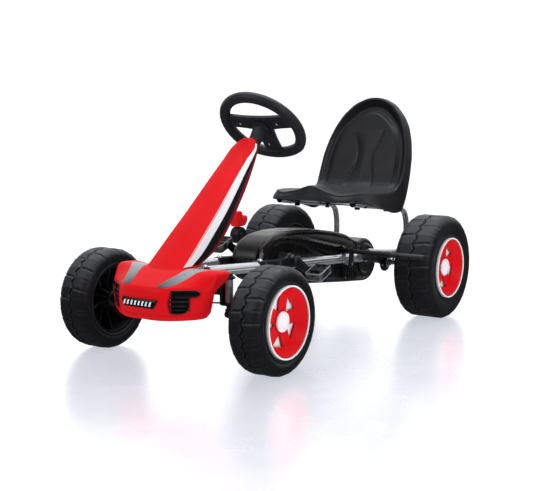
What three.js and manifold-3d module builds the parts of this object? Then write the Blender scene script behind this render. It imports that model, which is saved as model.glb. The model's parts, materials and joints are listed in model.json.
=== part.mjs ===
// Pedal go kart for a small child: steel rail frame, chain drive to the rear axle, hand brake,
// linked front steering and a sliding bucket seat. Millimetres, +Z up, the kart faces -Y and
// its left side is +X. The ground is Z = 0 and the origin is under the middle of the kart.
import * as THREE from 'three';
import { mergeVertices } from 'three/addons/utils/BufferGeometryUtils.js';
import ManifoldModule from 'manifold-3d';

const wasm = await ManifoldModule();
wasm.setup();

// ---------------------------------------------------------------- driving dimensions
// Every place below is measured from the middle of the front axle, at ground level.
const GAP = 0.35;
const WHEELBASE = 770;
const BUMPER_FRONT_Y = -160;
const TYRE_SEGMENTS = 28;
const FACET = 1 / Math.cos(Math.PI / TYRE_SEGMENTS);
const FRONT_WHEEL = { radius: 120, halfWidth: 42.4, track: 244, ring: 45, phase: 42, bore: 6.6 };
const REAR_WHEEL = { radius: 139, halfWidth: 53.3, track: 249, ring: 56, phase: 51, bore: 7.6 };
const MIDDLE_Y = (WHEELBASE + REAR_WHEEL.radius * FACET + BUMPER_FRONT_Y) / 2;

const RIM_RADIUS = 81;
const DISH_DEPTH = 24;
const WINDOW_COUNT = 5;

const STEER = { wheel: [0, 316, 524], radius: 104, tube: 11.5, shaft: 6, length: 500 };
const LEAN = Math.SQRT1_2;
const KINGPIN_X = 127;
const KNUCKLE_ARM = 50;
const PITMAN_ARM = 38.5;
const TIE_ROD_Z = 137;

const RAIL = { x: 60, radius: 12.5, startY: 6, endY: 695, z0: 209.5, fall: 0.0758 };
const CRANK = { y: 344, z: 192, axle: 8, radius: 68, angle: -30, armX: 78.5, armThick: 6 };
const PEDAL = { inner: 87, outer: 134, depth: 56, height: 22, spindle: 4 };
const AXLE_RADIUS = 7;
const AXLE_HALF = 281.5;
const CHAIN_PITCH = 12.7;
const RING_TEETH = 28;
const SPROCKET_TEETH = 16;
const CASE = { half: 45, bevel: 7, lobe: 58.5 };
const BRAKE = { barY: 622, barZ: 183, barRadius: 6, half: 296, plateX: 80.5, leverX: -196 };
const BRAKE_PIVOT = { y: 618, z: 150 };
const TYRE_SKIN = 5;
const SHELL_WALL = 3;
const SEAT_TUBE = { x: 115, radius: 8, frontY: 565, z0: 385, fall: 0.125 };
const SEAT_HALF = 129;
const SEAT_WALL = 6;
const TUBE_WALL = 1.5;

// ---------------------------------------------------------------- colours and finishes
const material = (color, roughness, metalness = 0) =>
  new THREE.MeshStandardMaterial({ color, roughness, metalness });
const RED = material(0xd8202a, 0.28);
const BLACK = material(0x26262a, 0.45);
const TYRE = material(0x2c2c31, 0.6);
const PALE = material(0xf2f2f0, 0.35);
const GREY = material(0x6f7478, 0.5);
const CHROME = material(0xd9dbde, 0.15, 1);
const STEEL = material(0x8d9094, 0.4, 0.9);

// ---------------------------------------------------------------- solids and booleans
const toSolid = (geometry) => {
  const bare = geometry.clone();
  bare.deleteAttribute('normal');
  bare.deleteAttribute('uv');
  const merged = mergeVertices(bare, 1e-4);
  return new wasm.Manifold(new wasm.Mesh({
    numProp: 3,
    vertProperties: new Float32Array(merged.attributes.position.array),
    triVerts: new Uint32Array(merged.index.array),
  }));
};

const toGeometry = (solid) => {
  const mesh = solid.getMesh();
  const geometry = new THREE.BufferGeometry();
  const vertices = new Float32Array(mesh.vertProperties);
  geometry.setAttribute('position', new THREE.BufferAttribute(vertices, 3));
  geometry.setIndex(new THREE.BufferAttribute(new Uint32Array(mesh.triVerts), 1));
  geometry.computeVertexNormals();
  return geometry;
};

const join = (...geometries) =>
  toGeometry(geometries.map(toSolid).reduce((all, next) => all.add(next)));

const cut = (geometry, ...cutters) =>
  toGeometry(cutters.map(toSolid).reduce((left, next) => left.subtract(next), toSolid(geometry)));

const common = (a, b) => toGeometry(toSolid(a).intersect(toSolid(b)));

// ---------------------------------------------------------------- simple shapes
const block = (size, at) => new THREE.BoxGeometry(...size).translate(...at);

// A straight round rod from one point to another.
const rod = (from, to, radius, segments = 16) => {
  const a = new THREE.Vector3(...from);
  const b = new THREE.Vector3(...to);
  const along = new THREE.Vector3().subVectors(b, a);
  const upward = new THREE.Vector3(0, 1, 0);
  const turn = new THREE.Quaternion().setFromUnitVectors(upward, along.clone().normalize());
  const middle = a.add(b).multiplyScalar(0.5);
  return new THREE.CylinderGeometry(radius, radius, along.length(), segments)
    .applyQuaternion(turn)
    .translate(middle.x, middle.y, middle.z);
};

const circlePoints = (radius, count) =>
  Array.from({ length: count }, (_, i) => {
    const angle = (2 * Math.PI * i) / count;
    return new THREE.Vector2(radius * Math.cos(angle), radius * Math.sin(angle));
  });

// A round tube along a path of straight runs joined by smooth bends.
const bentTube = (points, bend, radius, sides, steps) => {
  const path = new THREE.CurvePath();
  let start = points[0];
  for (let i = 1; i < points.length - 1; i += 1) {
    const before = points[i].clone().lerp(points[i - 1], bend / points[i].distanceTo(points[i - 1]));
    const after = points[i].clone().lerp(points[i + 1], bend / points[i].distanceTo(points[i + 1]));
    path.add(new THREE.LineCurve3(start, before));
    path.add(new THREE.QuadraticBezierCurve3(before, points[i], after));
    start = after;
  }
  path.add(new THREE.LineCurve3(start, points[points.length - 1]));
  const section = new THREE.Shape(circlePoints(radius, sides));
  return new THREE.ExtrudeGeometry(section, { steps, extrudePath: path });
};

const extrude = (points, depth, bevel = 0) =>
  new THREE.ExtrudeGeometry(new THREE.Shape(points.map((p) => new THREE.Vector2(...p))), {
    depth: depth - 2 * bevel,
    bevelEnabled: bevel > 0,
    bevelThickness: bevel,
    bevelSize: bevel,
    bevelOffset: -bevel,
    bevelSegments: 1,
  }).translate(0, 0, bevel);

const basis = (x, y, z) => new THREE.Matrix4().makeBasis(
  new THREE.Vector3(...x),
  new THREE.Vector3(...y),
  new THREE.Vector3(...z),
);

// An outline of (y, z) points made solid between two x values.
const sidePrism = (points, fromX, toX, bevel = 0) =>
  extrude(points, toX - fromX, bevel)
    .applyMatrix4(basis([0, 1, 0], [0, 0, 1], [1, 0, 0]))
    .translate(fromX, 0, 0);

// An outline of (x, z) points made solid between two y values.
const frontPrism = (points, fromY, toY) =>
  extrude(points, toY - fromY)
    .applyMatrix4(basis([1, 0, 0], [0, 0, 1], [0, -1, 0]))
    .translate(0, toY, 0);

// An outline of (x, y) points made solid between two heights.
const topPrism = (points, fromZ, toZ) => extrude(points, toZ - fromZ).translate(0, 0, fromZ);

// A closed skin through rings of points, with a flat lid at each end.
const loft = (sections) => {
  const count = sections[0].length;
  const positions = sections.flat(2);
  const index = [];
  for (let s = 0; s < sections.length - 1; s += 1) {
    for (let i = 0; i < count; i += 1) {
      const a = s * count + i;
      const b = s * count + ((i + 1) % count);
      index.push(a, b, a + count, b, b + count, a + count);
    }
  }
  const last = (sections.length - 1) * count;
  lidTriangles(sections[0]).forEach(([a, b, c]) => index.push(a, c, b));
  lidTriangles(sections[sections.length - 1])
    .forEach(([a, b, c]) => index.push(last + a, last + b, last + c));
  const geometry = new THREE.BufferGeometry();
  geometry.setAttribute('position', new THREE.Float32BufferAttribute(positions, 3));
  geometry.setIndex(index);
  return signedVolume(geometry) < 0 ? turnedInsideOut(geometry) : geometry;
};

// Drops the axis in which a ring of points is thinnest.
const flatten = (ring) => {
  const spans = [0, 1, 2].map((axis) => {
    const values = ring.map((p) => p[axis]);
    return Math.max(...values) - Math.min(...values);
  });
  const dropped = spans.indexOf(Math.min(...spans));
  const [u, v] = [[1, 2], [2, 0], [0, 1]][dropped];
  return ring.map((p) => new THREE.Vector2(p[u], p[v]));
};

// Triangles that fill a ring of points and turn the same way as the ring.
const lidTriangles = (ring) => {
  const flat = flatten(ring);
  const sameWay = THREE.ShapeUtils.area(flat) > 0;
  return THREE.ShapeUtils.triangulateShape(flat, []).map(([a, b, c]) => {
    const turnsLeft = THREE.ShapeUtils.area([flat[a], flat[b], flat[c]]) > 0;
    return turnsLeft === sameWay ? [a, b, c] : [a, c, b];
  });
};

const signedVolume = (geometry) => {
  const position = geometry.attributes.position;
  const corner = (i) => new THREE.Vector3().fromBufferAttribute(position, geometry.index.getX(i));
  let total = 0;
  for (let i = 0; i < geometry.index.count; i += 3) {
    total += corner(i).dot(corner(i + 1).cross(corner(i + 2))) / 6;
  }
  return total;
};

const turnedInsideOut = (geometry) => {
  const index = Array.from(geometry.index.array);
  for (let i = 0; i < index.length; i += 3) {
    [index[i + 1], index[i + 2]] = [index[i + 2], index[i + 1]];
  }
  geometry.setIndex(index);
  return geometry;
};

// A profile of (radius, x) points turned about the X axis, from one end of the profile to the other.
const LATHE_TO_X = basis([0, 0, -1], [1, 0, 0], [0, -1, 0]);
const capTurned = (profile, segments) => {
  const points = profile.map(([radius, x]) => new THREE.Vector2(radius, x));
  return new THREE.LatheGeometry(points, segments)
    .rotateY(Math.PI / segments)
    .applyMatrix4(LATHE_TO_X);
};

// The same for a ring, whose profile closes on itself.
const turned = (profile, segments) => capTurned([...profile, profile[0]], segments);

const facingOut = (geometry) => {
  const indexed = geometry.index ? geometry : mergeVertices(geometry);
  return signedVolume(indexed) < 0 ? turnedInsideOut(indexed) : indexed;
};

// ---------------------------------------------------------------- naming and placing
const kart = new THREE.Group();
kart.position.y = -MIDDLE_Y;

const put = (name, geometry, look, parent = kart) => {
  const mesh = new THREE.Mesh(facingOut(geometry), look);
  mesh.name = name;
  parent.add(mesh);
  return mesh;
};

const SIDES = [['left', 1], ['right', -1]];
const mirrorX = (geometry, side) => {
  if (side > 0) return geometry;
  const flipped = geometry.index ? geometry : mergeVertices(geometry);
  return turnedInsideOut(flipped.scale(-1, 1, 1));
};

// Heights of the rail, of the seat's tubes and of the seat pan's underside at a place along the kart.
const railZ = (y) => RAIL.z0 - RAIL.fall * y;
const seatTubeZ = (y) => SEAT_TUBE.z0 - SEAT_TUBE.fall * y;
const seatPanZ = (y) => 337 - (y - 552) * (5 / 240);

// A round bar across the kart between two x values.
const crossBar = (fromX, toX, y, z, radius, segments = 16) =>
  rod([fromX, y, z], [toX, y, z], radius, segments);

// The angle of a crank from straight back: the right crank points the other way from the left.
const crankTurn = (side) => THREE.MathUtils.degToRad(CRANK.angle) + (side > 0 ? 0 : Math.PI);
const crankEnd = (side) => [
  CRANK.y + CRANK.radius * Math.cos(crankTurn(side)),
  CRANK.z + CRANK.radius * Math.sin(crankTurn(side)),
];

// ---------------------------------------------------------------- wheels
// Blow-moulded tyre: a thin ring of plastic, open towards the rim.
const tyre = ({ radius, halfWidth }) => {
  const r = radius * FACET;
  const w = halfWidth;
  const bead = RIM_RADIUS + 1.2;
  const half = [
    [bead, w - 5],
    [r - 22, w],
    [r - 7, w - 7],
    [r, w - 22],
  ];
  const inner = [
    [r - TYRE_SKIN, w - 22],
    [r - 24, w - TYRE_SKIN],
    [bead, w - 5 - TYRE_SKIN],
  ];
  const mirrored = (points) => points.map(([a, x]) => [a, -x]).reverse();
  return turned([...half, ...mirrored(half), ...mirrored(inner), ...inner], TYRE_SEGMENTS);
};

// Pale rim: a barrel with a flat web and a hub tube, and the ring that frames the cover.
const rim = ({ halfWidth, ring, bore }) => {
  const web = ring - DISH_DEPTH - 10;
  const barrel = halfWidth - 8;
  return turned([
    [bore, -30],
    [19, -30],
    [19, web - 3],
    [75, web - 3],
    [76, -barrel],
    [RIM_RADIUS - 0.5, -barrel],
    [RIM_RADIUS, ring],
    [77, ring],
    [75.5, web],
    [19, web],
    [19, web + 5],
    [bore, web + 5],
  ], 20);
};

// Red wheel cover: a dish with five triangular windows.
const wheelCover = ({ ring, phase }) => {
  const floor = ring - DISH_DEPTH;
  const dish = turned([
    [10, floor + 1],
    [58, floor],
    [75.5, ring - 2],
    [75.5, ring - 6],
    [73, ring - 8.5],
    [57, floor - 3],
    [10, floor - 2],
  ], 22);
  const windows = Array.from({ length: WINDOW_COUNT }, (_, i) => {
    const turn = THREE.MathUtils.degToRad(phase + (360 / WINDOW_COUNT) * i);
    const corner = (radius, swing) => [radius * Math.cos(turn + swing), radius * Math.sin(turn + swing)];
    return sidePrism([corner(25, 0), corner(55, -0.33), corner(55, 0.33)], floor - 10, floor + 8);
  });
  return cut(dish, ...windows);
};

const hubCap = ({ ring }) => {
  const seat = ring - DISH_DEPTH + 1 + GAP;
  return capTurned([[0, seat], [23, seat], [23, seat + 5], [17, seat + 8.5], [0, seat + 10]], 20);
};

const addWheel = (end, sideName, side, wheel, y) => {
  const group = new THREE.Group();
  group.position.set(side * wheel.track, y, wheel.radius);
  kart.add(group);
  put(`${end}_tyre_${sideName}`, mirrorX(tyre(wheel), side), TYRE, group);
  put(`${end}_rim_${sideName}`, mirrorX(rim(wheel), side), PALE, group);
  put(`${end}_wheel_cover_${sideName}`, mirrorX(wheelCover(wheel), side), RED, group);
  put(`${end}_hub_cap_${sideName}`, mirrorX(hubCap(wheel), side), PALE, group);
};

for (const [name, side] of SIDES) {
  addWheel('front', name, side, FRONT_WHEEL, 0);
  addWheel('rear', name, side, REAR_WHEEL, WHEELBASE);
}

// ---------------------------------------------------------------- bumper and nose
// Half-width stations of the bumper: x, front y, height of the bottom, of the brow and of the hood.
const BUMPER_STATIONS = [
  [0, BUMPER_FRONT_Y, 120, 192, 226],
  [49, -159, 120, 192, 225],
  [73, -144, 120, 191, 225],
  [105, -121, 121, 190, 224],
  [127, -104, 123, 188, 222],
  [142, -88, 132, 184, 219],
];

const bumperRing = ([x, front, bottom, brow, hood], thickness) => {
  const t = thickness;
  const open = t > 0 ? 25 : 0;
  return [
    [x, -84 + open, bottom + t],
    [x, Math.min(front + 9, -86) + t, bottom + t],
    [x, front + t, 158],
    [x, front + 9 + t, brow - t],
    [x, -66, hood - t],
    [x, -29 + open, hood - 4 - t],
    [x, -31 + open, hood - 11 - t],
    [x, -72 + open, 194 - t],
  ];
};

const bumper = () => {
  const bothSides = (stations, t) => [
    ...stations.slice(1).reverse().map(([x, ...rest]) => bumperRing([-x, ...rest], t)),
    ...stations.map((station) => bumperRing(station, t)),
  ];
  const endX = BUMPER_STATIONS[BUMPER_STATIONS.length - 1][0];
  const shrink = (endX - SHELL_WALL) / endX;
  const shrunk = BUMPER_STATIONS.map(([x, ...rest]) => [x * shrink, ...rest]);
  return cut(loft(bothSides(BUMPER_STATIONS, 0)), loft(bothSides(shrunk, SHELL_WALL)));
};

// Depth of the bumper's front face at a sideways place and height.
const bumperFaceY = (x, z) => {
  const across = Math.abs(x);
  const at = BUMPER_STATIONS.findIndex(([station]) => station >= across);
  const [x1, y1] = BUMPER_STATIONS[at];
  const [x0, y0] = BUMPER_STATIONS[Math.max(at - 1, 0)];
  const front = x1 === x0 ? y1 : y0 + ((across - x0) / (x1 - x0)) * (y1 - y0);
  return front + 9 * (Math.abs(z - 158) / (z > 158 ? 33 : 37));
};

// A thin plate that lies on the bumper's front face.
const facePlate = (stations, low, high, thickness) => loft(stations.map((x) => {
  const out = (z, lift) => [x, bumperFaceY(x, z) - GAP - lift, z];
  const back = [out(low, 0), out(158, 0), out(high, 0)];
  return [...back, out(high, thickness), out(158, thickness), out(low, thickness)];
}));

put('front_bumper', bumper(), RED);
put('badge_plate', facePlate([-46, 0, 46], 148, 167, 2), BLACK);
for (const [name, side] of SIDES) {
  put(`bumper_grille_${name}`, facePlate([73.5, 105, 117].map((x) => x * side), 140, 186, 2), BLACK);
}

// Heights of the nose: z, half-width, front y, rear y of its sides.
const NOSE_STATIONS = [
  [227, 52, -66, -4],
  [250, 50.5, -38, 49],
  [286, 48, 5, 96],
  [333, 44.5, 62, 143],
  [411, 39, 152, 208],
  [480, 34.5, 233, 250],
  [496, 26, 250, 257],
];

const noseRing = ([z, half, front, rear], t) => {
  const w = half - t;
  const back = t > 0 ? rear + 30 : rear;
  const f = front + t;
  const round = Math.min(8, (rear - front) / 2);
  return [
    [-w, back, z],
    [-w, f + round, z],
    [-w + 8, f, z],
    [0, f - 5, z],
    [w - 8, f, z],
    [w, f + round, z],
    [w, back, z],
  ];
};

const nose = () => {
  const top = NOSE_STATIONS.length - 1;
  const inner = NOSE_STATIONS.map(([z, ...rest], i) => {
    const drop = i === 0 || i === top ? 5 : 0;
    return noseRing([z - drop, ...rest], SHELL_WALL);
  });
  return cut(loft(NOSE_STATIONS.map((station) => noseRing(station, 0))), loft(inner));
};

put('nose_cone', nose(), RED);

// ---------------------------------------------------------------- steering
// The steering group's Z axis points up the column to the driver, and its Y axis up the wheel.
const steering = new THREE.Group();
steering.position.set(...STEER.wheel);
steering.setRotationFromMatrix(basis([-1, 0, 0], [0, -LEAN, LEAN], [0, LEAN, LEAN]));
kart.add(steering);

const steeringWheel = () => {
  const ring = new THREE.TorusGeometry(STEER.radius, STEER.tube, 8, 32);
  const position = ring.attributes.position;
  for (let i = 0; i < position.count; i += 1) {
    const y = position.getY(i);
    if (y < -70) position.setY(i, -70 + (y + 70) * 0.72);
  }
  const reach = STEER.radius - 2;
  const spoke = (x, y, width) => {
    const length = Math.hypot(x, y);
    const bar = new THREE.BoxGeometry(width, length, 9).translate(0, length / 2, 0);
    return bar.rotateZ(Math.atan2(y, x) - Math.PI / 2).translate(0, 0, -1);
  };
  const spokes = [spoke(-reach, 8, 26), spoke(reach, 8, 26), spoke(-26, -86, 20), spoke(26, -86, 20)];
  return join(ring, ...spokes, rod([0, 0, -12], [0, 0, 6], 24, 20));
};

const bossWithBore = cut(
  new THREE.CylinderGeometry(20, 14, 62, 16).rotateX(Math.PI / 2).translate(0, 0, -43.5),
  rod([0, 0, -80], [0, 0, -11], STEER.shaft + GAP),
);

const columnTube = cut(
  rod([0, 0, -438], [0, 0, -78], 11, 14),
  rod([0, 0, -460], [0, 0, -70], STEER.shaft + 1),
);

put('steering_wheel', steeringWheel(), BLACK, steering);
put('steering_hub_pad', capTurned([[0, 0], [22, 0], [19, 7], [0, 9]], 20)
  .applyMatrix4(basis([0, 0, 1], [1, 0, 0], [0, 1, 0])).translate(0, 0, 6 + GAP), BLACK, steering);
put('steering_boss', bossWithBore, BLACK, steering);
put('steering_shaft', rod([0, 0, -STEER.length], [0, 0, -12 - GAP], STEER.shaft), STEEL, steering);
put('steering_column_tube', columnTube, BLACK, steering);

// Pitman arm: a plate on the foot of the shaft with an upright stud for both tie rods.
const armFoot = STEER.wheel.map((value, i) => value - [0, LEAN, LEAN][i] * (STEER.length - 4));
const armTip = [0, armFoot[1] + PITMAN_ARM * LEAN, armFoot[2] - PITMAN_ARM * LEAN];
const STUD_Y = armTip[1] - 2;
const pitmanPlate = cut(
  join(
    new THREE.BoxGeometry(16, PITMAN_ARM, 5).translate(0, -PITMAN_ARM / 2, -STEER.length + 4),
    rod([0, 0, -STEER.length + 1], [0, 0, -STEER.length + 14], 11),
  ),
  rod([0, 0, -STEER.length - 9], [0, 0, -STEER.length + 30], STEER.shaft + GAP),
).applyMatrix4(steering.matrix.compose(steering.position, steering.quaternion, steering.scale));
const stud = rod([0, STUD_Y, 124], [0, STUD_Y, armTip[2] + 1], 3.5, 10);
put('pitman_arm', join(pitmanPlate, stud), STEEL);

const eye = (at, radius, low, high) => rod([at[0], at[1], low], [at[0], at[1], high], radius, 14);

for (const [name, side] of SIDES) {
  const pin = side * KINGPIN_X;
  const innerZ = side > 0 ? 134 : 127;
  const inner = [0, STUD_Y, innerZ + 2.5];
  const outer = [pin, KNUCKLE_ARM, TIE_ROD_Z];
  const between = (share) => inner.map((value, i) => value + (outer[i] - value) * share);
  const tieRod = cut(
    join(
      rod(between(0.072), between(0.95), 2.4, 8),
      eye(inner, 12, innerZ, innerZ + 5),
      eye(outer, 9, TIE_ROD_Z - 3, TIE_ROD_Z + 3),
    ),
    eye(inner, 8, innerZ - 5, innerZ + 10),
    eye(outer, 4.5, TIE_ROD_Z - 8, TIE_ROD_Z + 8),
  );
  put(`tie_rod_${name}`, tieRod, STEEL);

  // Knuckle: kingpin, its sleeve between the bracket's ears, stub axle, arm and tie-rod pin.
  const hubEnd = side * (FRONT_WHEEL.track + FRONT_WHEEL.ring - DISH_DEPTH - 4);
  put(`knuckle_${name}`, join(
    rod([pin, 0, 112], [pin, 0, 214], 6.5, 12),
    rod([pin, 0, 146], [pin, 0, 200.5], 9.5, 12),
    rod([pin - side * 8, 0, 120], [hubEnd, 0, 120], 6, 12),
    rod([side * 196, 0, 120], [side * 212, 0, 120], 10, 12),
    block([16, KNUCKLE_ARM + 4, 6], [pin, KNUCKLE_ARM / 2, 130]),
    rod([pin, KNUCKLE_ARM, 128], [pin, KNUCKLE_ARM, 143], 4, 10),
  ), STEEL);
}

// ---------------------------------------------------------------- frame
// Front beam: a square bar with a kingpin bracket at each end, rail saddles and the column's foot.
const frontBeam = () => {
  const parts = [block([230, 24, 24], [0, 0, 175])];
  const bores = [];
  for (const side of [1, -1]) {
    parts.push(block([5, 30, 64], [side * 114, 0, 173]));
    parts.push(block([28, 30, 4], [side * 128, 0, 143]));
    parts.push(block([28, 30, 4], [side * 128, 0, 203]));
    parts.push(block([30, 24, 18], [side * RAIL.x, 0, 192]));
    bores.push(rod([side * KINGPIN_X, 0, 130], [side * KINGPIN_X, 0, 215], 6.9, 16));
    bores.push(rod([side * RAIL.x, -40, railZ(-40)], [side * RAIL.x, 60, railZ(60)], RAIL.radius + GAP, 16));
  }
  const along = (distance) => STEER.wheel.map((value, i) => value - [0, LEAN, LEAN][i] * distance);
  parts.push(rod(along(476), along(440), 14, 14));
  parts.push(block([22, 20, 16], [0, 0, 192]));
  bores.push(rod(along(490), along(430), STEER.shaft + 0.6, 14));
  return cut(join(...parts), ...bores);
};

put('front_beam', frontBeam(), BLACK);

// Side rail: a chromed tube with the crank hub let into it, a flattened tail and a brake pivot pin.
const sideRail = (side) => {
  const x = side * RAIL.x;
  const along = (fromY, toY, radius) => rod([x, fromY, railZ(fromY)], [x, toY, railZ(toY)], radius, 16);
  const tube = along(RAIL.startY, RAIL.endY, RAIL.radius);
  const hollow = along(RAIL.startY - 10, RAIL.endY - 12, RAIL.radius - TUBE_WALL);
  const hub = crossBar(x - side * 14, x + side * 16, CRANK.y, CRANK.z, 18, 20);
  const tail = block([6, 64, 28], [x, RAIL.endY + 24, railZ(RAIL.endY + 24)]);
  const pin = crossBar(x, x + side * 26, BRAKE_PIVOT.y, BRAKE_PIVOT.z, 4, 10);
  const bore = crossBar(x - side * 30, x + side * 30, CRANK.y, CRANK.z, CRANK.axle + 0.6, 20);
  return cut(join(tube, hub, tail, pin), hollow, bore);
};

// Seat tube: bolted over the rear bracket, then back, up behind the seat and forward under it.
const seatTubePath = (side) => [
  [side * 86, 700, 174],
  [side * 100, 800, 161],
  [side * SEAT_TUBE.x, 872, 158],
  [side * SEAT_TUBE.x, 872, 245],
  [side * SEAT_TUBE.x, 852, seatTubeZ(852)],
  [side * SEAT_TUBE.x, SEAT_TUBE.frontY, seatTubeZ(SEAT_TUBE.frontY)],
];
const seatTube = (side, radius, lengthen = 0) => {
  const points = seatTubePath(side).map((point) => new THREE.Vector3(...point));
  const last = points.length - 1;
  const past = (end, before) => end.clone().sub(before).setLength(lengthen).add(end);
  const ends = [past(points[0], points[1]), past(points[last], points[last - 1])];
  return bentTube([ends[0], ...points.slice(1, last), ends[1]], 26, radius, 10, 34);
};

// Rear bracket: the axle's bearing plate and the arm that bolts to the rail's tail.
const rearBracket = (side) => {
  const onAxle = (fromX, toX, radius, segments) =>
    crossBar(side * fromX, side * toX, WHEELBASE, REAR_WHEEL.radius, radius, segments);
  const plate = onAxle(100, 107, 26, 24);
  const boss = onAxle(92, 114, 15, 20);
  const arm = block([43.6, 34, 16], [side * 85.2, 730, 154]);
  const bore = onAxle(80, 130, AXLE_RADIUS + 0.5, 20);
  return cut(join(plate, boss, arm), bore, seatTube(side, SEAT_TUBE.radius + GAP));
};

for (const [name, side] of SIDES) {
  put(`side_rail_${name}`, sideRail(side), CHROME);
  const hollow = seatTube(side, SEAT_TUBE.radius - TUBE_WALL, 3);
  put(`seat_tube_${name}`, cut(seatTube(side, SEAT_TUBE.radius), hollow), CHROME);
  put(`rear_bracket_${name}`, rearBracket(side), BLACK);
}

// ---------------------------------------------------------------- chain drive
const toothedWheel = (teeth, bore) => {
  const pitchRadius = CHAIN_PITCH / (2 * Math.sin(Math.PI / teeth));
  const outline = [];
  for (let i = 0; i < teeth; i += 1) {
    for (const [part, lift] of [[-0.14, 2.2], [0.14, 2.2], [0.5, -3.4]]) {
      const angle = (2 * Math.PI * (i + part)) / teeth;
      outline.push([(pitchRadius + lift) * Math.cos(angle), (pitchRadius + lift) * Math.sin(angle)]);
    }
  }
  return cut(sidePrism(outline, -1.5, 1.5), crossBar(-5, 5, 0, 0, bore, 14));
};

// The outline of a belt round both chain wheels, grown outwards by an offset.
const beltOutline = (offset) => {
  const r1 = CHAIN_PITCH / (2 * Math.sin(Math.PI / RING_TEETH)) + offset;
  const r2 = CHAIN_PITCH / (2 * Math.sin(Math.PI / SPROCKET_TEETH)) + offset;
  const dy = WHEELBASE - CRANK.y;
  const dz = REAR_WHEEL.radius - CRANK.z;
  const heading = Math.atan2(dz, dy);
  const wrap = Math.acos((r1 - r2) / Math.hypot(dy, dz));
  const arc = (y, z, radius, from, to, steps) => Array.from({ length: steps + 1 }, (_, i) => {
    const angle = heading + from + ((to - from) * i) / steps;
    return [y + radius * Math.cos(angle), z + radius * Math.sin(angle)];
  });
  return [
    ...arc(CRANK.y, CRANK.z, r1, wrap, 2 * Math.PI - wrap, 16),
    ...arc(WHEELBASE, REAR_WHEEL.radius, r2, -wrap, wrap, 10),
  ];
};

const chain = () => cut(
  sidePrism(beltOutline(4.4), -4, 4),
  sidePrism(beltOutline(2.9), -2.2, 2.2),
  sidePrism(beltOutline(-4.4), -9, 9),
);

put('chain', chain(), STEEL);
const ringMesh = put('chainring', toothedWheel(RING_TEETH, CRANK.axle + GAP), STEEL);
ringMesh.position.set(0, CRANK.y, CRANK.z);
const sprocketMesh = put('rear_sprocket', toothedWheel(SPROCKET_TEETH, AXLE_RADIUS + GAP), STEEL);
sprocketMesh.position.set(0, WHEELBASE, REAR_WHEEL.radius);
put('rear_axle', crossBar(-AXLE_HALF, AXLE_HALF, WHEELBASE, REAR_WHEEL.radius, AXLE_RADIUS), STEEL);
put('crank_axle', crossBar(-90, 90, CRANK.y, CRANK.z, CRANK.axle), STEEL);

// Crank arm: a tapered plate with a boss at each end and the pedal's spindle.
const crankArm = (side) => {
  const [endY, endZ] = crankEnd(side);
  const near = side * CRANK.armX;
  const far = side * (CRANK.armX + CRANK.armThick);
  const across = [Math.sin(crankTurn(side)), -Math.cos(crankTurn(side))];
  const corner = (y, z, half) => [y + across[0] * half, z + across[1] * half];
  const plate = [
    corner(CRANK.y, CRANK.z, 9),
    corner(CRANK.y, CRANK.z, -9),
    corner(endY, endZ, -7),
    corner(endY, endZ, 7),
  ];
  return cut(
    join(
      sidePrism(plate, Math.min(near, far), Math.max(near, far)),
      crossBar(near, side * 89, CRANK.y, CRANK.z, 14, 20),
      crossBar(near, side * 86, endY, endZ, 9, 16),
      crossBar(near + side, side * (PEDAL.outer - 4), endY, endZ, PEDAL.spindle, 12),
    ),
    crossBar(near - side * 5, side * 95, CRANK.y, CRANK.z, CRANK.axle + GAP, 20),
  );
};

const pedal = () => {
  const long = PEDAL.outer - PEDAL.inner;
  const body = block([long, PEDAL.depth, PEDAL.height], [long / 2, 0, 0]);
  const slots = [-1, 1].map((s) => block([long - 20, 12, 60], [long / 2, s * 16, 0]));
  const treads = [-1, 1].map((s) => block([long + 2, 6, 3], [long / 2, s * 4, s * (PEDAL.height / 2)]));
  return cut(body, ...slots, ...treads, crossBar(-5, long - 2, 0, 0, PEDAL.spindle + 0.4, 14));
};

for (const [name, side] of SIDES) {
  put(`crank_arm_${name}`, crankArm(side), STEEL);
  const mesh = put(`pedal_${name}`, mirrorX(pedal(), side), BLACK);
  mesh.position.set(side * PEDAL.inner, ...crankEnd(side));
}

// Chain case: two moulded shells that meet on the kart's centre line.
const CASE_FRONT = [
  [262, 148], [243, 160], [236, 190], [241, 222], [262, 248], [300, 263], [360, 268], [430, 266],
  [520, 255], [600, 240], [668, 222], [712, 202], [738, 192],
];
const CASE_FOOT = [[649, 91], [468, 113], [340, 124]];
const caseOutline = () => {
  const steps = 12;
  const lobe = Array.from({ length: steps + 1 }, (_, i) => {
    const angle = THREE.MathUtils.degToRad(100 - (195 * i) / steps);
    return [WHEELBASE + CASE.lobe * Math.cos(angle), REAR_WHEEL.radius + CASE.lobe * Math.sin(angle)];
  });
  return [...CASE_FRONT, ...lobe, ...CASE_FOOT];
};

// An outline moved inwards along its own corners.
const inset = (points, distance) => points.map(([y, z], i) => {
  const [py, pz] = points[(i + points.length - 1) % points.length];
  const [ny, nz] = points[(i + 1) % points.length];
  const before = new THREE.Vector2(y - py, z - pz).normalize();
  const after = new THREE.Vector2(ny - y, nz - z).normalize();
  const inward = new THREE.Vector2(before.y + after.y, -before.x - after.x);
  const scale = distance / (1 + before.dot(after));
  return [y + inward.x * scale, z + inward.y * scale];
});

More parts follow.
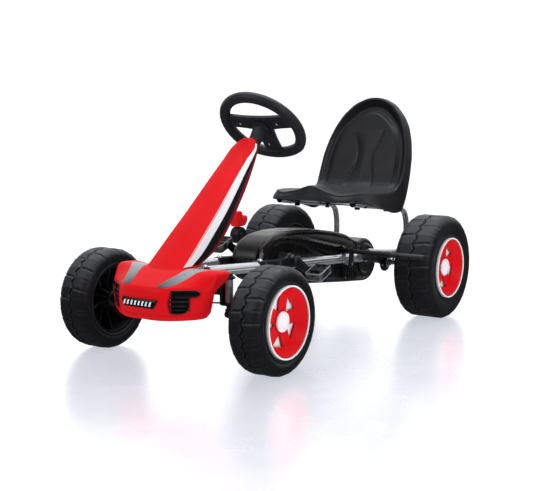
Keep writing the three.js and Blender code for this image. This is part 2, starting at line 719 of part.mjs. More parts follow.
const caseShell = (side) => {
  const outer = sidePrism(caseOutline(), -CASE.half, CASE.half, CASE.bevel);
  const room = CASE.half - SHELL_WALL;
  const hollow = sidePrism(inset(caseOutline(), SHELL_WALL), -room, room, CASE.bevel);
  const keep = block([CASE.half + 10, 900, 400], [side * (CASE.half / 2 + 5 + GAP / 2), 400, 200]);
  const crankHole = crossBar(-80, 80, CRANK.y, CRANK.z, CRANK.axle + 3, 20);
  const axleHole = crossBar(-80, 80, WHEELBASE, REAR_WHEEL.radius, AXLE_RADIUS + 3, 20);
  const brakeSlot = block([200, 30, 24], [0, BRAKE.barY + 2, BRAKE.barZ - 1]);
  return cut(common(outer, keep), hollow, crankHole, axleHole, brakeSlot);
};

for (const [name, side] of SIDES) put(`chain_case_${name}`, caseShell(side), BLACK);

// ---------------------------------------------------------------- hand brake
// A bar across both rear tyres on two swing plates, worked by a lever on the driver's right.
const brakeBar = () => {
  const onBar = (fromX, toX, radius) => crossBar(fromX, toX, BRAKE.barY, BRAKE.barZ, radius, 14);
  const parts = [onBar(-BRAKE.half, BRAKE.half, BRAKE.barRadius)];
  const bores = [];
  for (const side of [1, -1]) {
    const x = side * BRAKE.plateX;
    parts.push(onBar(side * 200, side * (BRAKE.half - 20), BRAKE.barRadius + 1.5));
    parts.push(sidePrism([
      [BRAKE_PIVOT.y - 9, BRAKE_PIVOT.z - 9],
      [BRAKE_PIVOT.y + 9, BRAKE_PIVOT.z - 9],
      [BRAKE.barY + 8, BRAKE.barZ],
      [BRAKE.barY - 8, BRAKE.barZ],
    ], x - 2.5, x + 2.5));
    bores.push(crossBar(x - 10, x + 10, BRAKE_PIVOT.y, BRAKE_PIVOT.z, 4.5, 14));
  }
  parts.push(rod([BRAKE.leverX, BRAKE.barY, BRAKE.barZ], [BRAKE.leverX, 500, 216], 6, 12));
  return cut(join(...parts), ...bores);
};

const GRIP_OUTLINE = [
  [466, 246.5], [500, 246.5], [514, 262], [508, 276],
  [492, 270], [486, 288], [464, 290], [462, 268],
];
put('brake_bar', brakeBar(), BLACK);
put('brake_lever_hub', cut(
  crossBar(BRAKE.leverX - 13, BRAKE.leverX + 13, 484, 222, 23, 20),
  rod([BRAKE.leverX, 540, 205.1], [BRAKE.leverX, 497, 217], 6 + GAP, 12),
), BLACK);
put('brake_grip', sidePrism(GRIP_OUTLINE, BRAKE.leverX - 13, BRAKE.leverX + 13, 4), RED);

// ---------------------------------------------------------------- seat
// Heights and half-widths of the seat seen from the front.
const SEAT_HALF_WIDTHS = [
  [270, 127], [345, SEAT_HALF], [400, 134], [442, 132],
  [496, 119], [551, 91], [578, 58], [596, 18],
];

// The seat is a moulded skin, open behind the back and under the pan.
const SEAT_FACE = [[874, 556], [842, 470], [808, 380], [788, 343], [700, 338], [542, 349]];
const seatBucket = () => {
  const widthProfile = (narrower) => frontPrism([
    ...SEAT_HALF_WIDTHS.map(([z, w]) => [w - narrower, z]),
    ...SEAT_HALF_WIDTHS.map(([z, w]) => [narrower - w, z]).reverse(),
  ], 500, 950);
  const side = sidePrism([
    [546, 320], [845, 277], [850, 330], [860, 370], [872, 440], [886, 520], [900, 584], [890, 593],
    ...SEAT_FACE,
  ], -SEAT_HALF - 8, SEAT_HALF + 8);
  const plan = topPrism([
    [-SEAT_HALF - 10, 592], [-SEAT_HALF + 6, 552], [-SEAT_HALF + 34, 540], [SEAT_HALF - 34, 540],
    [SEAT_HALF - 6, 552], [SEAT_HALF + 10, 592], [SEAT_HALF + 10, 950], [-SEAT_HALF - 10, 950],
  ], 250, 650);
  const room = sidePrism([
    [562, 200], [950, 200], [950, 558], [884, 558],
    [842 + SEAT_WALL, 468], [808 + SEAT_WALL, 376], [794, seatPanZ(794)], [562, seatPanZ(562)],
  ], -SEAT_HALF - 8, SEAT_HALF + 8);
  const channel = (x) => sidePrism([
    [540, 250],
    [960, 250],
    [960, seatTubeZ(960) + SEAT_TUBE.radius + 1],
    [540, seatTubeZ(540) + SEAT_TUBE.radius + 1],
  ], x - 9.5, x + 9.5);
  const skin = cut(common(common(side, widthProfile(0)), plan), common(room, widthProfile(SEAT_WALL)));
  return cut(skin, channel(SEAT_TUBE.x), channel(-SEAT_TUBE.x));
};
put('seat', seatBucket(), BLACK);

// Clamp bars under the seat tubes, with the knobs that lock the seat's slide.
const CLAMP_X = 95;
for (const [name, y] of [['front', 625], ['rear', 785]]) {
  const group = new THREE.Group();
  const top = seatTubeZ(y) - SEAT_TUBE.radius - 0.5;
  const post = seatPanZ(y) - top - 0.9;
  group.position.set(0, y, top);
  group.rotation.x = -Math.atan(SEAT_TUBE.fall);
  kart.add(group);
  put(`seat_clamp_${name}`, join(
    block([252, 22, 3], [0, 0, -1.5]),
    ...SIDES.map(([, side]) => rod([side * CLAMP_X, 0, -1], [side * CLAMP_X, 0, post], 4, 10)),
  ), STEEL, group);
  if (name === 'front') {
    for (const [sideName, side] of SIDES) {
      const knob = rod([side * CLAMP_X, 0, -13], [side * CLAMP_X, 0, -3 - GAP], 10, 10);
      put(`seat_knob_${sideName}`, knob, BLACK, group);
    }
  }
}

export default kart;
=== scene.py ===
import json
import math
import bpy
import bmesh
import numpy as np
from mathutils import Matrix, Vector
from mathutils.bvhtree import BVHTree


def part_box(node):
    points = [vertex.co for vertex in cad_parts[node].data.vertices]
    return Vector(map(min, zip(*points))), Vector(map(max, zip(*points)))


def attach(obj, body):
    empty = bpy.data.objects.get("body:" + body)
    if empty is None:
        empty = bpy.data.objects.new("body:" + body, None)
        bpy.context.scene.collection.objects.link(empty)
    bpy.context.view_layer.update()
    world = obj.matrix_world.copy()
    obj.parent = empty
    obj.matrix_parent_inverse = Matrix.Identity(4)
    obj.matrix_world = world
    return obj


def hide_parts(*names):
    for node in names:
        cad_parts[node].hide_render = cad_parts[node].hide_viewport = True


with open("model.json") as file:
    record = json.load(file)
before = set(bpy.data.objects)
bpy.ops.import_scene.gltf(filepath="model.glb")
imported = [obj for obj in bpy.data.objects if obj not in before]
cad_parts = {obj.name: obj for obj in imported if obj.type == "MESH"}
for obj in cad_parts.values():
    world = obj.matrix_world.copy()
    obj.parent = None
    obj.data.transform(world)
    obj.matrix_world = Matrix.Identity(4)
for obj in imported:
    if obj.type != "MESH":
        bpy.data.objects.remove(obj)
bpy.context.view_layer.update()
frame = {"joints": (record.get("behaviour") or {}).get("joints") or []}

# Shapes are worked out in millimetres from the middle of the front axle, at ground level:
# +X is the driver's left, the kart faces -Y and +Z is up. piece() moves them into the frame.
MM = 0.001
SHARP = math.radians(32)
SIDES = (("left", 1), ("right", -1))


def axle_y(end):
    low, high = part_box(f"{end}_tyre_left")
    return (low.y + high.y) / 2 / MM


ORIGIN = np.array([0.0, axle_y("front"), 0.0])


def node_box(node):
    """Lowest and highest corner of a CAD node, in kart millimetres."""
    low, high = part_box(node)
    return np.array(low) / MM - ORIGIN, np.array(high) / MM - ORIGIN


def joint_place(name):
    """A joint's pivot in kart millimetres."""
    joint = next(j for j in frame["joints"] if j["name"] == name)
    return np.array(joint["pos_m"]) / MM - ORIGIN


# ---------------------------------------------------------------- numbers and outlines
def smooth(t):
    t = np.clip(t, 0.0, 1.0)
    return t * t * (3 - 2 * t)


def ridge(distance, width):
    """1 on a line, falling smoothly to 0 at a width either side of it."""
    return 1 - smooth(np.abs(distance) / width)


def curve(xs, ys):
    """A smooth curve through points that never overshoots them."""
    xs = np.asarray(xs, float)
    ys = np.asarray(ys, float)
    gaps = np.diff(xs)
    slopes = np.diff(ys) / gaps
    tangents = np.zeros(len(xs))
    for i in range(1, len(xs) - 1):
        if slopes[i - 1] * slopes[i] > 0:
            tangents[i] = 2 / (1 / slopes[i - 1] + 1 / slopes[i])
    tangents[0], tangents[-1] = slopes[0], slopes[-1]

    def value(x):
        x = np.clip(x, xs[0], xs[-1])
        i = np.clip(np.searchsorted(xs, x, side="right") - 1, 0, len(gaps) - 1)
        t = (x - xs[i]) / gaps[i]
        a, b = ys[i], ys[i + 1]
        ta, tb = tangents[i] * gaps[i], tangents[i + 1] * gaps[i]
        return a + t * ta + t * t * (3 * (b - a) - 2 * ta - tb) + t**3 * (2 * (a - b) + ta + tb)

    return value


def rounded(points, radii, steps=5):
    """A closed outline with each corner turned into an arc-like bend."""
    points = np.asarray(points, float)
    radii = np.broadcast_to(np.asarray(radii, float), len(points))
    made = []
    for i, corner in enumerate(points):
        before, after = points[i - 1] - corner, points[(i + 1) % len(points)] - corner
        reach_in = min(radii[i], 0.48 * np.linalg.norm(before))
        reach_out = min(radii[i], 0.48 * np.linalg.norm(after))
        start = corner + before / max(np.linalg.norm(before), 1e-9) * reach_in
        end = corner + after / max(np.linalg.norm(after), 1e-9) * reach_out
        for t in np.linspace(0, 1, steps + 1):
            made.append((1 - t) ** 2 * start + 2 * t * (1 - t) * corner + t * t * end)
    return np.array(made)


def resampled(points, count, closed=True):
    """Evenly spaced points along an outline."""
    points = np.asarray(points, float)
    if closed:
        points = np.vstack([points, points[:1]])
    run = np.concatenate([[0], np.cumsum(np.linalg.norm(np.diff(points, axis=0), axis=1))])
    at = np.linspace(0, run[-1], count + 1)[:-1] if closed else np.linspace(0, run[-1], count)
    return np.column_stack([np.interp(at, run, points[:, k]) for k in range(points.shape[1])])


def inset(points, distance):
    """An anticlockwise outline moved inwards along its corners."""
    points = np.asarray(points, float)
    before = points - np.roll(points, 1, axis=0)
    after = np.roll(points, -1, axis=0) - points
    before /= np.maximum(np.linalg.norm(before, axis=1), 1e-9)[:, None]
    after /= np.maximum(np.linalg.norm(after, axis=1), 1e-9)[:, None]
    inward = np.column_stack([-before[:, 1] - after[:, 1], before[:, 0] + after[:, 0]])
    spread = 1 + np.sum(before * after, axis=1)
    return points + inward * (distance / np.maximum(spread, 0.35))[:, None]


def distance_to_line(points, line):
    """Distance from each 2-D point to a line of 2-D points."""
    line = np.asarray(line, float)
    best = np.full(len(points), 1e9)
    for a, b in zip(line[:-1], line[1:]):
        t = np.clip(((points - a) @ (b - a)) / np.dot(b - a, b - a), 0, 1)
        best = np.minimum(best, np.linalg.norm(points - a - t[:, None] * (b - a), axis=1))
    return best


# ---------------------------------------------------------------- skins: (points, faces)
def merged(*parts):
    points, faces, start = [], [], 0
    for part_points, part_faces in parts:
        points.append(np.asarray(part_points, float).reshape(-1, 3))
        faces += [[start + i for i in face] for face in part_faces]
        start += len(points[-1])
    return np.vstack(points), faces


def moved(part, matrix):
    points, faces = part
    m = np.array(matrix, float)
    return points @ m[:3, :3].T + m[:3, 3], faces


def shifted(part, offset):
    return part[0] + np.asarray(offset, float), part[1]


def mirrored(part, side):
    """The part as modelled for the left (side 1), or its mirror image for the right (side -1)."""
    points, faces = part
    if side > 0:
        return part
    return points * np.array([-1, 1, 1]), [face[::-1] for face in faces]


def loft(rings, lids=True, joined=False):
    """A skin over closed rings of points; joined also ties the last ring to the first."""
    rings = np.asarray(rings, float)
    count, size = rings.shape[:2]
    faces = []
    for r in range(count if joined else count - 1):
        a, b = r * size, ((r + 1) % count) * size
        for i in range(size):
            j = (i + 1) % size
            faces.append([a + i, a + j, b + j, b + i])
    if lids and not joined:
        faces.append(list(range(size))[::-1])
        faces.append([(count - 1) * size + i for i in range(size)])
    return rings.reshape(-1, 3), faces


def slab(top, bottom):
    """A closed solid between two grids of points."""
    top, bottom = np.asarray(top, float), np.asarray(bottom, float)
    rows, columns = top.shape[:2]
    half = rows * columns
    faces = []
    for r in range(rows - 1):
        for c in range(columns - 1):
            a = r * columns + c
            faces.append([a, a + 1, a + columns + 1, a + columns])
            faces.append([half + a, half + a + columns, half + a + columns + 1, half + a + 1])
    edge = [c for c in range(columns)]
    edge += [r * columns + columns - 1 for r in range(1, rows)]
    edge += [(rows - 1) * columns + c for c in range(columns - 2, -1, -1)]
    edge += [r * columns for r in range(rows - 2, 0, -1)]
    for a, b in zip(edge, edge[1:] + edge[:1]):
        faces.append([b, a, half + a, half + b])
    return np.vstack([top.reshape(-1, 3), bottom.reshape(-1, 3)]), faces


def sheet(grid, wrapped=False):
    """An open skin over a grid of points; wrapped ties its last column to its first."""
    grid = np.asarray(grid, float)
    rows, columns = grid.shape[:2]
    faces = []
    for r in range(rows - 1):
        for c in range(columns if wrapped else columns - 1):
            a, b = r * columns + c, r * columns + (c + 1) % columns
            faces.append([a, b, b + columns, a + columns])
    return grid.reshape(-1, 3), faces


def lathe(profile, steps):
    """A closed profile of (radius, x) points turned about the X axis."""
    profile = np.asarray(profile, float)
    angles = np.linspace(0, 2 * np.pi, steps, endpoint=False)
    rings = [
        np.column_stack([profile[:, 1], profile[:, 0] * np.cos(a), profile[:, 0] * np.sin(a)])
        for a in angles
    ]
    return loft(rings, joined=True)


def frame_along(direction):
    """Two directions square to a direction and to each other."""
    direction = direction / np.linalg.norm(direction)
    helper = np.array([0.0, 0, 1]) if abs(direction[2]) < 0.9 else np.array([1.0, 0, 0])
    u = np.cross(helper, direction)
    u /= np.linalg.norm(u)
    return u, np.cross(direction, u)


def turned(start, end, stations, sides=32):
    """A solid of revolution: stations are (distance from start, radius) along the line to end."""
    start, end = np.asarray(start, float), np.asarray(end, float)
    along = (end - start) / np.linalg.norm(end - start)
    u, v = frame_along(along)
    angles = np.linspace(0, 2 * np.pi, sides, endpoint=False)
    circle = np.outer(np.cos(angles), u) + np.outer(np.sin(angles), v)
    return loft([start + along * d + circle * max(r, 0.01) for d, r in stations])


def bar_x(low, high, y, z, radius, sides=32):
    """A plain round bar along X: a pin, or the cutter for a bore."""
    return turned((low, y, z), (high, y, z), [(0, radius), (abs(high - low), radius)], sides)


def rod(start, end, radius, sides=32, chamfer=0.8):
    """A round bar with a chamfer at each end."""
    length = np.linalg.norm(np.asarray(end, float) - np.asarray(start, float))
    tip = radius - chamfer
    return turned(start, end, [(0, tip), (chamfer, radius), (length - chamfer, radius), (length, tip)], sides)


def tube(path, radius, sides=24, closed=False, section=None):
    """A tube along a path of points. section(angle, step) may shape its radius."""
    path = np.asarray(path, float)
    ahead = np.roll(path, -1, axis=0) - np.roll(path, 1, axis=0)
    if not closed:
        ahead[0], ahead[-1] = path[1] - path[0], path[-1] - path[-2]
    angles = np.linspace(0, 2 * np.pi, sides, endpoint=False)
    u, _ = frame_along(ahead[0])
    rings = []
    for step, (centre, direction) in enumerate(zip(path, ahead)):
        direction = direction / np.linalg.norm(direction)
        u = u - direction * np.dot(u, direction)
        u /= np.linalg.norm(u)
        v = np.cross(direction, u)
        reach = radius if section is None else section(angles, step)
        reach = np.broadcast_to(reach, sides)[:, None]
        rings.append(centre + (np.outer(np.cos(angles), u) + np.outer(np.sin(angles), v)) * reach)
    return loft(rings, joined=closed)


def bent_path(points, bend, steps=10):
    """Straight runs joined by smooth bends of a given reach."""
    points = np.asarray(points, float)
    made = [points[0]]
    for before, corner, after in zip(points, points[1:], points[2:]):
        start = corner + (before - corner) * min(0.45, bend / np.linalg.norm(before - corner))
        end = corner + (after - corner) * min(0.45, bend / np.linalg.norm(after - corner))
        for t in np.linspace(0, 1, steps):
            made.append((1 - t) ** 2 * start + 2 * t * (1 - t) * corner + t * t * end)
    made.append(points[-1])
    return np.array(made)


AXES = {"x": (1, 2, 0), "y": (0, 2, 1), "z": (0, 1, 2)}


def prism(outline, low, high, axis="x", edge=0.0):
    """An outline pushed along an axis, with its rims eased by edge millimetres."""
    outline = np.asarray(outline, float)
    area = np.sum(outline[:, 0] * np.roll(outline[:, 1], -1) - outline[:, 1] * np.roll(outline[:, 0], -1))
    if area < 0:
        outline = outline[::-1]
    first, second, along = AXES[axis]
    levels = [(low, 0)]
    if edge:
        levels = [(low, edge), (low + edge * 0.3, edge * 0.3), (low + edge, 0)]
        levels += [(high - edge, 0), (high - edge * 0.3, edge * 0.3), (high, edge)]
    else:
        levels.append((high, 0))
    rings = np.zeros((len(levels), len(outline), 3))
    for ring, (place, pull) in zip(rings, levels):
        flat = inset(outline, pull) if pull else outline
        ring[:, first], ring[:, second], ring[:, along] = flat[:, 0], flat[:, 1], place
    return loft(rings)


def block(size, at, edge, corner):
    """A box with eased edges, its corners rounded in plan."""
    half = np.asarray(size, float) / 2
    outline = [(-half[0], -half[1]), (half[0], -half[1]), (half[0], half[1]), (-half[0], half[1])]
    return shifted(prism(rounded(outline, corner, 3), -half[2], half[2], "z", edge), at)


WASHER = 1.2


def hex_bolt(at, direction, flats=10, head=5):
    """A bolt head: a chamfered hexagon on a washer."""
    at, direction = np.asarray(at, float), np.asarray(direction, float)
    direction = direction / np.linalg.norm(direction)
    corner = flats / math.sqrt(3)
    seat = at + direction * WASHER
    hexagon = [(0, corner), (head - 1.2, corner), (head, corner * 0.82)]
    washer = rod(at - direction * 0.3, seat, corner * 1.35, 24, 0.3)
    return merged(turned(seat, at + direction * (WASHER + head), hexagon, 6), washer)


def dome_bolt(at, direction, radius=6, head=4):
    """A round-headed coach bolt."""
    at, direction = np.asarray(at, float), np.asarray(direction, float)
    direction = direction / np.linalg.norm(direction)
    stations = [(0, radius)]
    stations += [(head * math.sin(a), radius * math.cos(a)) for a in np.linspace(0.1, 1.5, 6)]
    return turned(at, at + direction * head, stations, 20)


# ---------------------------------------------------------------- mesh work in Blender
def temporary(part, turn=True):
    """An object in the scene for a modifier to work on; baked() removes it again."""
    points, faces = part
    mesh = bpy.data.meshes.new("work")
    mesh.from_pydata(points.tolist(), [], faces)
    settle(mesh, turn=turn)
    obj = bpy.data.objects.new("work", mesh)
    bpy.context.scene.collection.objects.link(obj)
    return obj


def settle(mesh, gap=1e-4, turn=True):
    """Joins coincident points and, if asked, turns every face outwards."""
    bm = bmesh.new()
    bm.from_mesh(mesh)
    bmesh.ops.remove_doubles(bm, verts=bm.verts, dist=gap)
    bmesh.ops.dissolve_degenerate(bm, edges=bm.edges, dist=gap)
    if turn:
        bmesh.ops.recalc_face_normals(bm, faces=bm.faces)
    bm.to_mesh(mesh)
    bm.free()


def baked(obj, *helpers):
    """The modified shape of a temporary object as a part; the objects are removed."""
    bpy.context.view_layer.update()
    shape = obj.evaluated_get(bpy.context.evaluated_depsgraph_get()).to_mesh()
    points = np.array([v.co for v in shape.vertices], float).reshape(-1, 3)
    faces = [list(p.vertices) for p in shape.polygons]
    for o in (obj, *helpers):
        bpy.data.objects.remove(o)
    return points, faces


def cut(part, *cutters):
    """A part with each cutter taken out of it. Both need to be plain closed solids."""
    obj = temporary(part)
    helpers = [temporary(cutter) for cutter in cutters]
    for helper in helpers:
        modifier = obj.modifiers.new("boolean", "BOOLEAN")
        modifier.operation = "DIFFERENCE"
        modifier.solver = "EXACT"
        modifier.object = helper
    return baked(obj, *helpers)


def walled(part, thickness):
    """An open skin made into a closed shell, with its wall on the inner side."""
    obj = temporary(part, turn=False)
    modifier = obj.modifiers.new("wall", "SOLIDIFY")
    modifier.thickness = thickness
    modifier.offset = -1
    modifier.use_even_offset = True
    return baked(obj)


def eased(part, width):
    """Edges sharper than 40 degrees turned into small rounds."""
    obj = temporary(part)
    modifier = obj.modifiers.new("round", "BEVEL")
    modifier.width = width
    modifier.segments = 2
    modifier.limit_method = "ANGLE"
    modifier.angle_limit = math.radians(40)
    return baked(obj)


def piece(name, part, look, body, stands_for=()):
    """A finished piece of the kart, in the frame, riding on its body."""
    points, faces = part
    mesh = bpy.data.meshes.new(name)
    mesh.from_pydata(((points + ORIGIN) * MM).tolist(), [], faces)
    settle(mesh, 1e-7)
    mesh.materials.append(look)
    mesh.shade_smooth()
    mesh.set_sharp_from_angle(angle=SHARP)
    obj = bpy.data.objects.new(name, mesh)
    bpy.context.scene.collection.objects.link(obj)
    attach(obj, body)
    if stands_for:
        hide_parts(*stands_for)
    return obj


# ---------------------------------------------------------------- materials
def srgb(red, green, blue):
    """A colour given in 0-255 display values, as linear light."""
    return tuple((v / 255 / 12.92 if v <= 10 else ((v / 255 + 0.055) / 1.055) ** 2.4)
                 for v in (red, green, blue)) + (1.0,)


class Nodes:
    """Short names for building a material's node tree."""

    def __init__(self, name):
        self.material = bpy.data.materials.new(name)
        self.material.use_nodes = True
        self.tree = self.material.node_tree
        self.shader = self.tree.nodes["Principled BSDF"]
        self.place = self.add("ShaderNodeTexCoord").outputs["Object"]

    def add(self, kind, **settings):
        node = self.tree.nodes.new(kind)
        for key, value in settings.items():
            setattr(node, key, value)
        return node

    def link(self, source, target):
        self.tree.links.new(source, target)

    def set(self, **values):
        for key, value in values.items():
            self.shader.inputs[key.replace("_", " ")].default_value = value

    def noise(self, scale, detail=4.0, stretch=None):
        node = self.add("ShaderNodeTexNoise")
        node.inputs["Scale"].default_value = scale
        node.inputs["Detail"].default_value = detail
        place = self.place
        if stretch:
            mapping = self.add("ShaderNodeMapping")
            mapping.inputs["Scale"].default_value = stretch
            self.link(place, mapping.inputs["Vector"])
            place = mapping.outputs["Vector"]
        self.link(place, node.inputs["Vector"])
        return node.outputs["Fac"]

    def spread(self, source, low, high, from_low=0.3, from_high=0.7):
        node = self.add("ShaderNodeMapRange")
        node.inputs["From Min"].default_value = from_low
        node.inputs["From Max"].default_value = from_high
        node.inputs["To Min"].default_value = low
        node.inputs["To Max"].default_value = high
        self.link(source, node.inputs["Value"])
        return node.outputs["Result"]

    def mix(self, factor, a, b):
        node = self.add("ShaderNodeMix", data_type="RGBA")
        for socket, value in ((node.inputs[0], factor), (node.inputs[6], a), (node.inputs[7], b)):
            if hasattr(value, "links"):
                self.link(value, socket)
            else:
                socket.default_value = value
        return node.outputs[2]

    def crevice_shade(self, reach, strength=1.0):
        """1 in the open, towards 0 in corners narrower than reach metres; the mask for painted shade."""
        node = self.add("ShaderNodeAmbientOcclusion", samples=6)
        node.inputs["Distance"].default_value = reach
        return self.spread(node.outputs["AO"], 1 - strength, 1.0, 0.25, 0.95)

    def edge(self, low=0.52, high=0.60):
        """Towards 1 on convex edges, where a surface is scuffed and where a highlight is painted."""
        node = self.add("ShaderNodeNewGeometry")
        return self.spread(node.outputs["Pointiness"], 0.0, 1.0, low, high)

    def lit_top(self, low=0.35, high=0.95):
        """Towards 1 where a surface faces up."""
        axes = self.add("ShaderNodeSeparateXYZ")
        self.link(self.add("ShaderNodeNewGeometry").outputs["Normal"], axes.inputs[0])
        return self.spread(axes.outputs["Z"], 0.0, 1.0, low, high)

    def bump(self, *layers):
        """Layers of (height, strength, distance in metres) laid over each other."""
        normal = None
        for height, strength, distance in layers:
            node = self.add("ShaderNodeBump")
            node.inputs["Strength"].default_value = strength
            node.inputs["Distance"].default_value = distance
            self.link(height, node.inputs["Height"])
            if normal is not None:
                self.link(normal, node.inputs["Normal"])
            normal = node.outputs["Normal"]
        self.link(normal, self.shader.inputs["Normal"])

    def colour(self, source):
        self.link(source, self.shader.inputs["Base Color"])

    def roughness(self, source):
        self.link(source, self.shader.inputs["Roughness"])


def plastic(name, base, dark, worn_and_lit, rough, grain=900.0, depth=0.00005, shine=0.2, wear_and_edge_sheen=0.25, dust_and_sheen=0.0):
    """Moulded plastic: grain, flow marks, painted shade in corners, and lighter edges and top faces that are
    part scuffing and dusting, part painted highlight.
    """
    n = Nodes(name)
    tone = n.mix(n.spread(n.noise(9.0, 3.0), 0.0, 1.0), base, dark)
    # Top faces are made lighter: part dusting, part painted highlight from the top light.
    dust_and_sheen_mask = n.add("ShaderNodeMath", operation="MULTIPLY")
    n.link(n.lit_top(), dust_and_sheen_mask.inputs[0])
    n.link(n.spread(n.noise(22.0, 4.0), dust_and_sheen * 0.7, dust_and_sheen), dust_and_sheen_mask.inputs[1])
    tone = n.mix(dust_and_sheen_mask.outputs[0], tone, worn_and_lit)
    # Convex edges are made lighter: part scuffing, part painted highlight.
    wear_and_edge_sheen_mask = n.add("ShaderNodeMath", operation="MULTIPLY")
    n.link(n.edge(), wear_and_edge_sheen_mask.inputs[0])
    n.link(n.spread(n.noise(70.0), 0.0, wear_and_edge_sheen, 0.35, 0.75), wear_and_edge_sheen_mask.inputs[1])
    tone = n.mix(wear_and_edge_sheen_mask.outputs[0], tone, worn_and_lit)
    # Corners found by ambient occlusion are darkened: painted shade.
    shade = tuple(v * 0.22 for v in dark[:3]) + (1.0,)
    n.colour(n.mix(n.crevice_shade(0.006), shade, tone))
    n.roughness(n.spread(n.noise(35.0, 6.0), rough - 0.05, rough + 0.09))
    n.bump((n.noise(9.0, 2.0), 0.08, 0.0008), (n.noise(grain, 2.0), 0.25, depth))
    n.set(Specular_IOR_Level=shine)
    return n.material


def metal(name, base, dark, rough, streak=(1.0, 1.0, 1.0), pits=0.15, spots=0.35, metallic=1.0):
    """Bare or plated steel: polishing streaks, tiny pits, a duller film in patches and painted shade in its
    hollows.
    """
    n = Nodes(name)
    film = n.spread(n.noise(38.0, 6.0), 0.0, spots, 0.5, 0.8)
    tone = n.mix(film, base, dark)
    # Corners found by ambient occlusion are darkened: painted shade.
    n.colour(n.mix(n.crevice_shade(0.004, 0.8), tuple(v * 0.3 for v in dark[:3]) + (1.0,), tone))
    n.roughness(n.spread(n.noise(60.0, 5.0, streak), rough * 0.7, rough * 1.7))
    n.bump((n.noise(420.0, 3.0, streak), pits, 0.00008))
    n.set(Metallic=metallic)
    return n.material


def tyre_look():
    """Blow-moulded tyre: dull black with a dusty bloom, painted shade in its grooves, and lighter edges and
    top faces that are part scuffing and dusting, part painted highlight.
    """
    n = Nodes("tyre")
    base, bloom = srgb(19, 19, 22), srgb(28, 29, 33)
    tone = n.mix(n.spread(n.noise(16.0, 5.0), 0.0, 0.8, 0.35, 0.75), base, bloom)
    # Convex edges made lighter: part scuffing, part painted highlight.
    tone = n.mix(n.spread(n.edge(0.51, 0.6), 0.0, 0.35, 0.0, 1.0), tone, srgb(84, 86, 92))
    # Top faces made lighter: part dusting, part painted highlight from the top light.
    tone = n.mix(n.spread(n.lit_top(0.3, 1.0), 0.0, 0.6, 0.0, 1.0), tone, srgb(88, 91, 97))
    # Grooves and corners darkened by ambient occlusion: painted shade.
    n.colour(n.mix(n.crevice_shade(0.009), srgb(8, 8, 10), tone))
    n.roughness(n.spread(n.noise(45.0, 5.0), 0.36, 0.55))
    n.bump((n.noise(24.0, 3.0), 0.25, 0.0014), (n.noise(650.0, 3.0), 0.35, 0.00009))
    n.set(Specular_IOR_Level=0.14)
    return n.material


def strip_look():
    """Hood strip: dark grey at its tip, paling towards the nose."""
    n = Nodes("hood_strip")
    axes = n.add("ShaderNodeSeparateXYZ")
    n.link(n.place, axes.inputs[0])
    low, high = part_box("front_bumper")
    pale = n.spread(axes.outputs["Y"], 0.0, 1.0, low.y + 0.02, high.y - 0.045)
    tone = n.mix(pale, srgb(56, 48, 54), srgb(150, 154, 158))
    speck = n.spread(n.noise(1500.0, 2.0), 0.0, 0.18, 0.45, 0.7)
    n.colour(n.mix(speck, tone, srgb(130, 130, 136)))
    n.roughness(n.spread(n.noise(50.0), 0.26, 0.4))
    n.bump((n.noise(1200.0, 2.0), 0.2, 0.00004))
    n.set(Specular_IOR_Level=0.3)
    return n.material


# Each plastic below has painted shade in its corners and lighter edges and top faces, part scuffing and
# dusting, part painted highlight.
RED = plastic("red_plastic", srgb(222, 22, 30), srgb(212, 18, 26), srgb(240, 96, 92), 0.34,
              700.0, 0.00002, 0.05)
DEEP_RED = plastic("seam_red", srgb(120, 14, 24), srgb(96, 10, 20), srgb(170, 50, 56), 0.35)
BLACK = plastic("black_plastic", srgb(19, 19, 21), srgb(14, 14, 16), srgb(96, 98, 104), 0.33, dust_and_sheen=0.12)
GLOSS_BLACK = plastic("gloss_black", srgb(13, 13, 14), srgb(9, 9, 10), srgb(90, 92, 96), 0.24, shine=0.18)
SEAT_BLACK = plastic("seat_plastic", srgb(25, 25, 28), srgb(20, 20, 23), srgb(88, 92, 98), 0.36,
                     1100.0, 0.00007, dust_and_sheen=0.3)
PALE = plastic("pale_plastic", srgb(246, 246, 247), srgb(238, 239, 242), srgb(255, 255, 255), 0.3)
CASE_BLACK = plastic("case_plastic", srgb(11, 11, 12), srgb(9, 9, 10), srgb(84, 85, 88), 0.24,
                     800.0, 0.00001, shine=0.32, wear_and_edge_sheen=0.12, dust_and_sheen=0.1)
WHEEL_BLACK = plastic("steering_plastic", srgb(36, 36, 41), srgb(30, 30, 34), srgb(104, 106, 114), 0.4,
                      dust_and_sheen=0.22)
# Pedal edges strongly lightened: part scuffing, part painted edge highlight.
PEDAL_BLACK = plastic("pedal_plastic", srgb(16, 16, 18), srgb(12, 12, 14), srgb(150, 152, 156), 0.35,
                      wear_and_edge_sheen=0.9)
# The pale line round each pedal face stands for scuffed edges and a painted edge highlight.
PEDAL_GREY = plastic("pedal_border", srgb(150, 152, 156), srgb(128, 130, 134), srgb(200, 202, 204), 0.4)
TYRE = tyre_look()
CHROME = metal("chrome", srgb(226, 228, 234), srgb(196, 200, 208), 0.13, (1.0, 0.3, 1.0), 0.02, 0.2, 0.86)
ZINC = metal("zinc", srgb(236, 238, 243), srgb(206, 209, 215), 0.42)
STEEL = metal("steel", srgb(176, 179, 184), srgb(126, 128, 132), 0.3)
BLACK_STEEL = plastic("black_steel", srgb(17, 17, 19), srgb(12, 12, 14), srgb(110, 110, 114), 0.3,
                      500.0, 0.00006, shine=0.3, wear_and_edge_sheen=0.4, dust_and_sheen=0.1)
STRIP = strip_look()

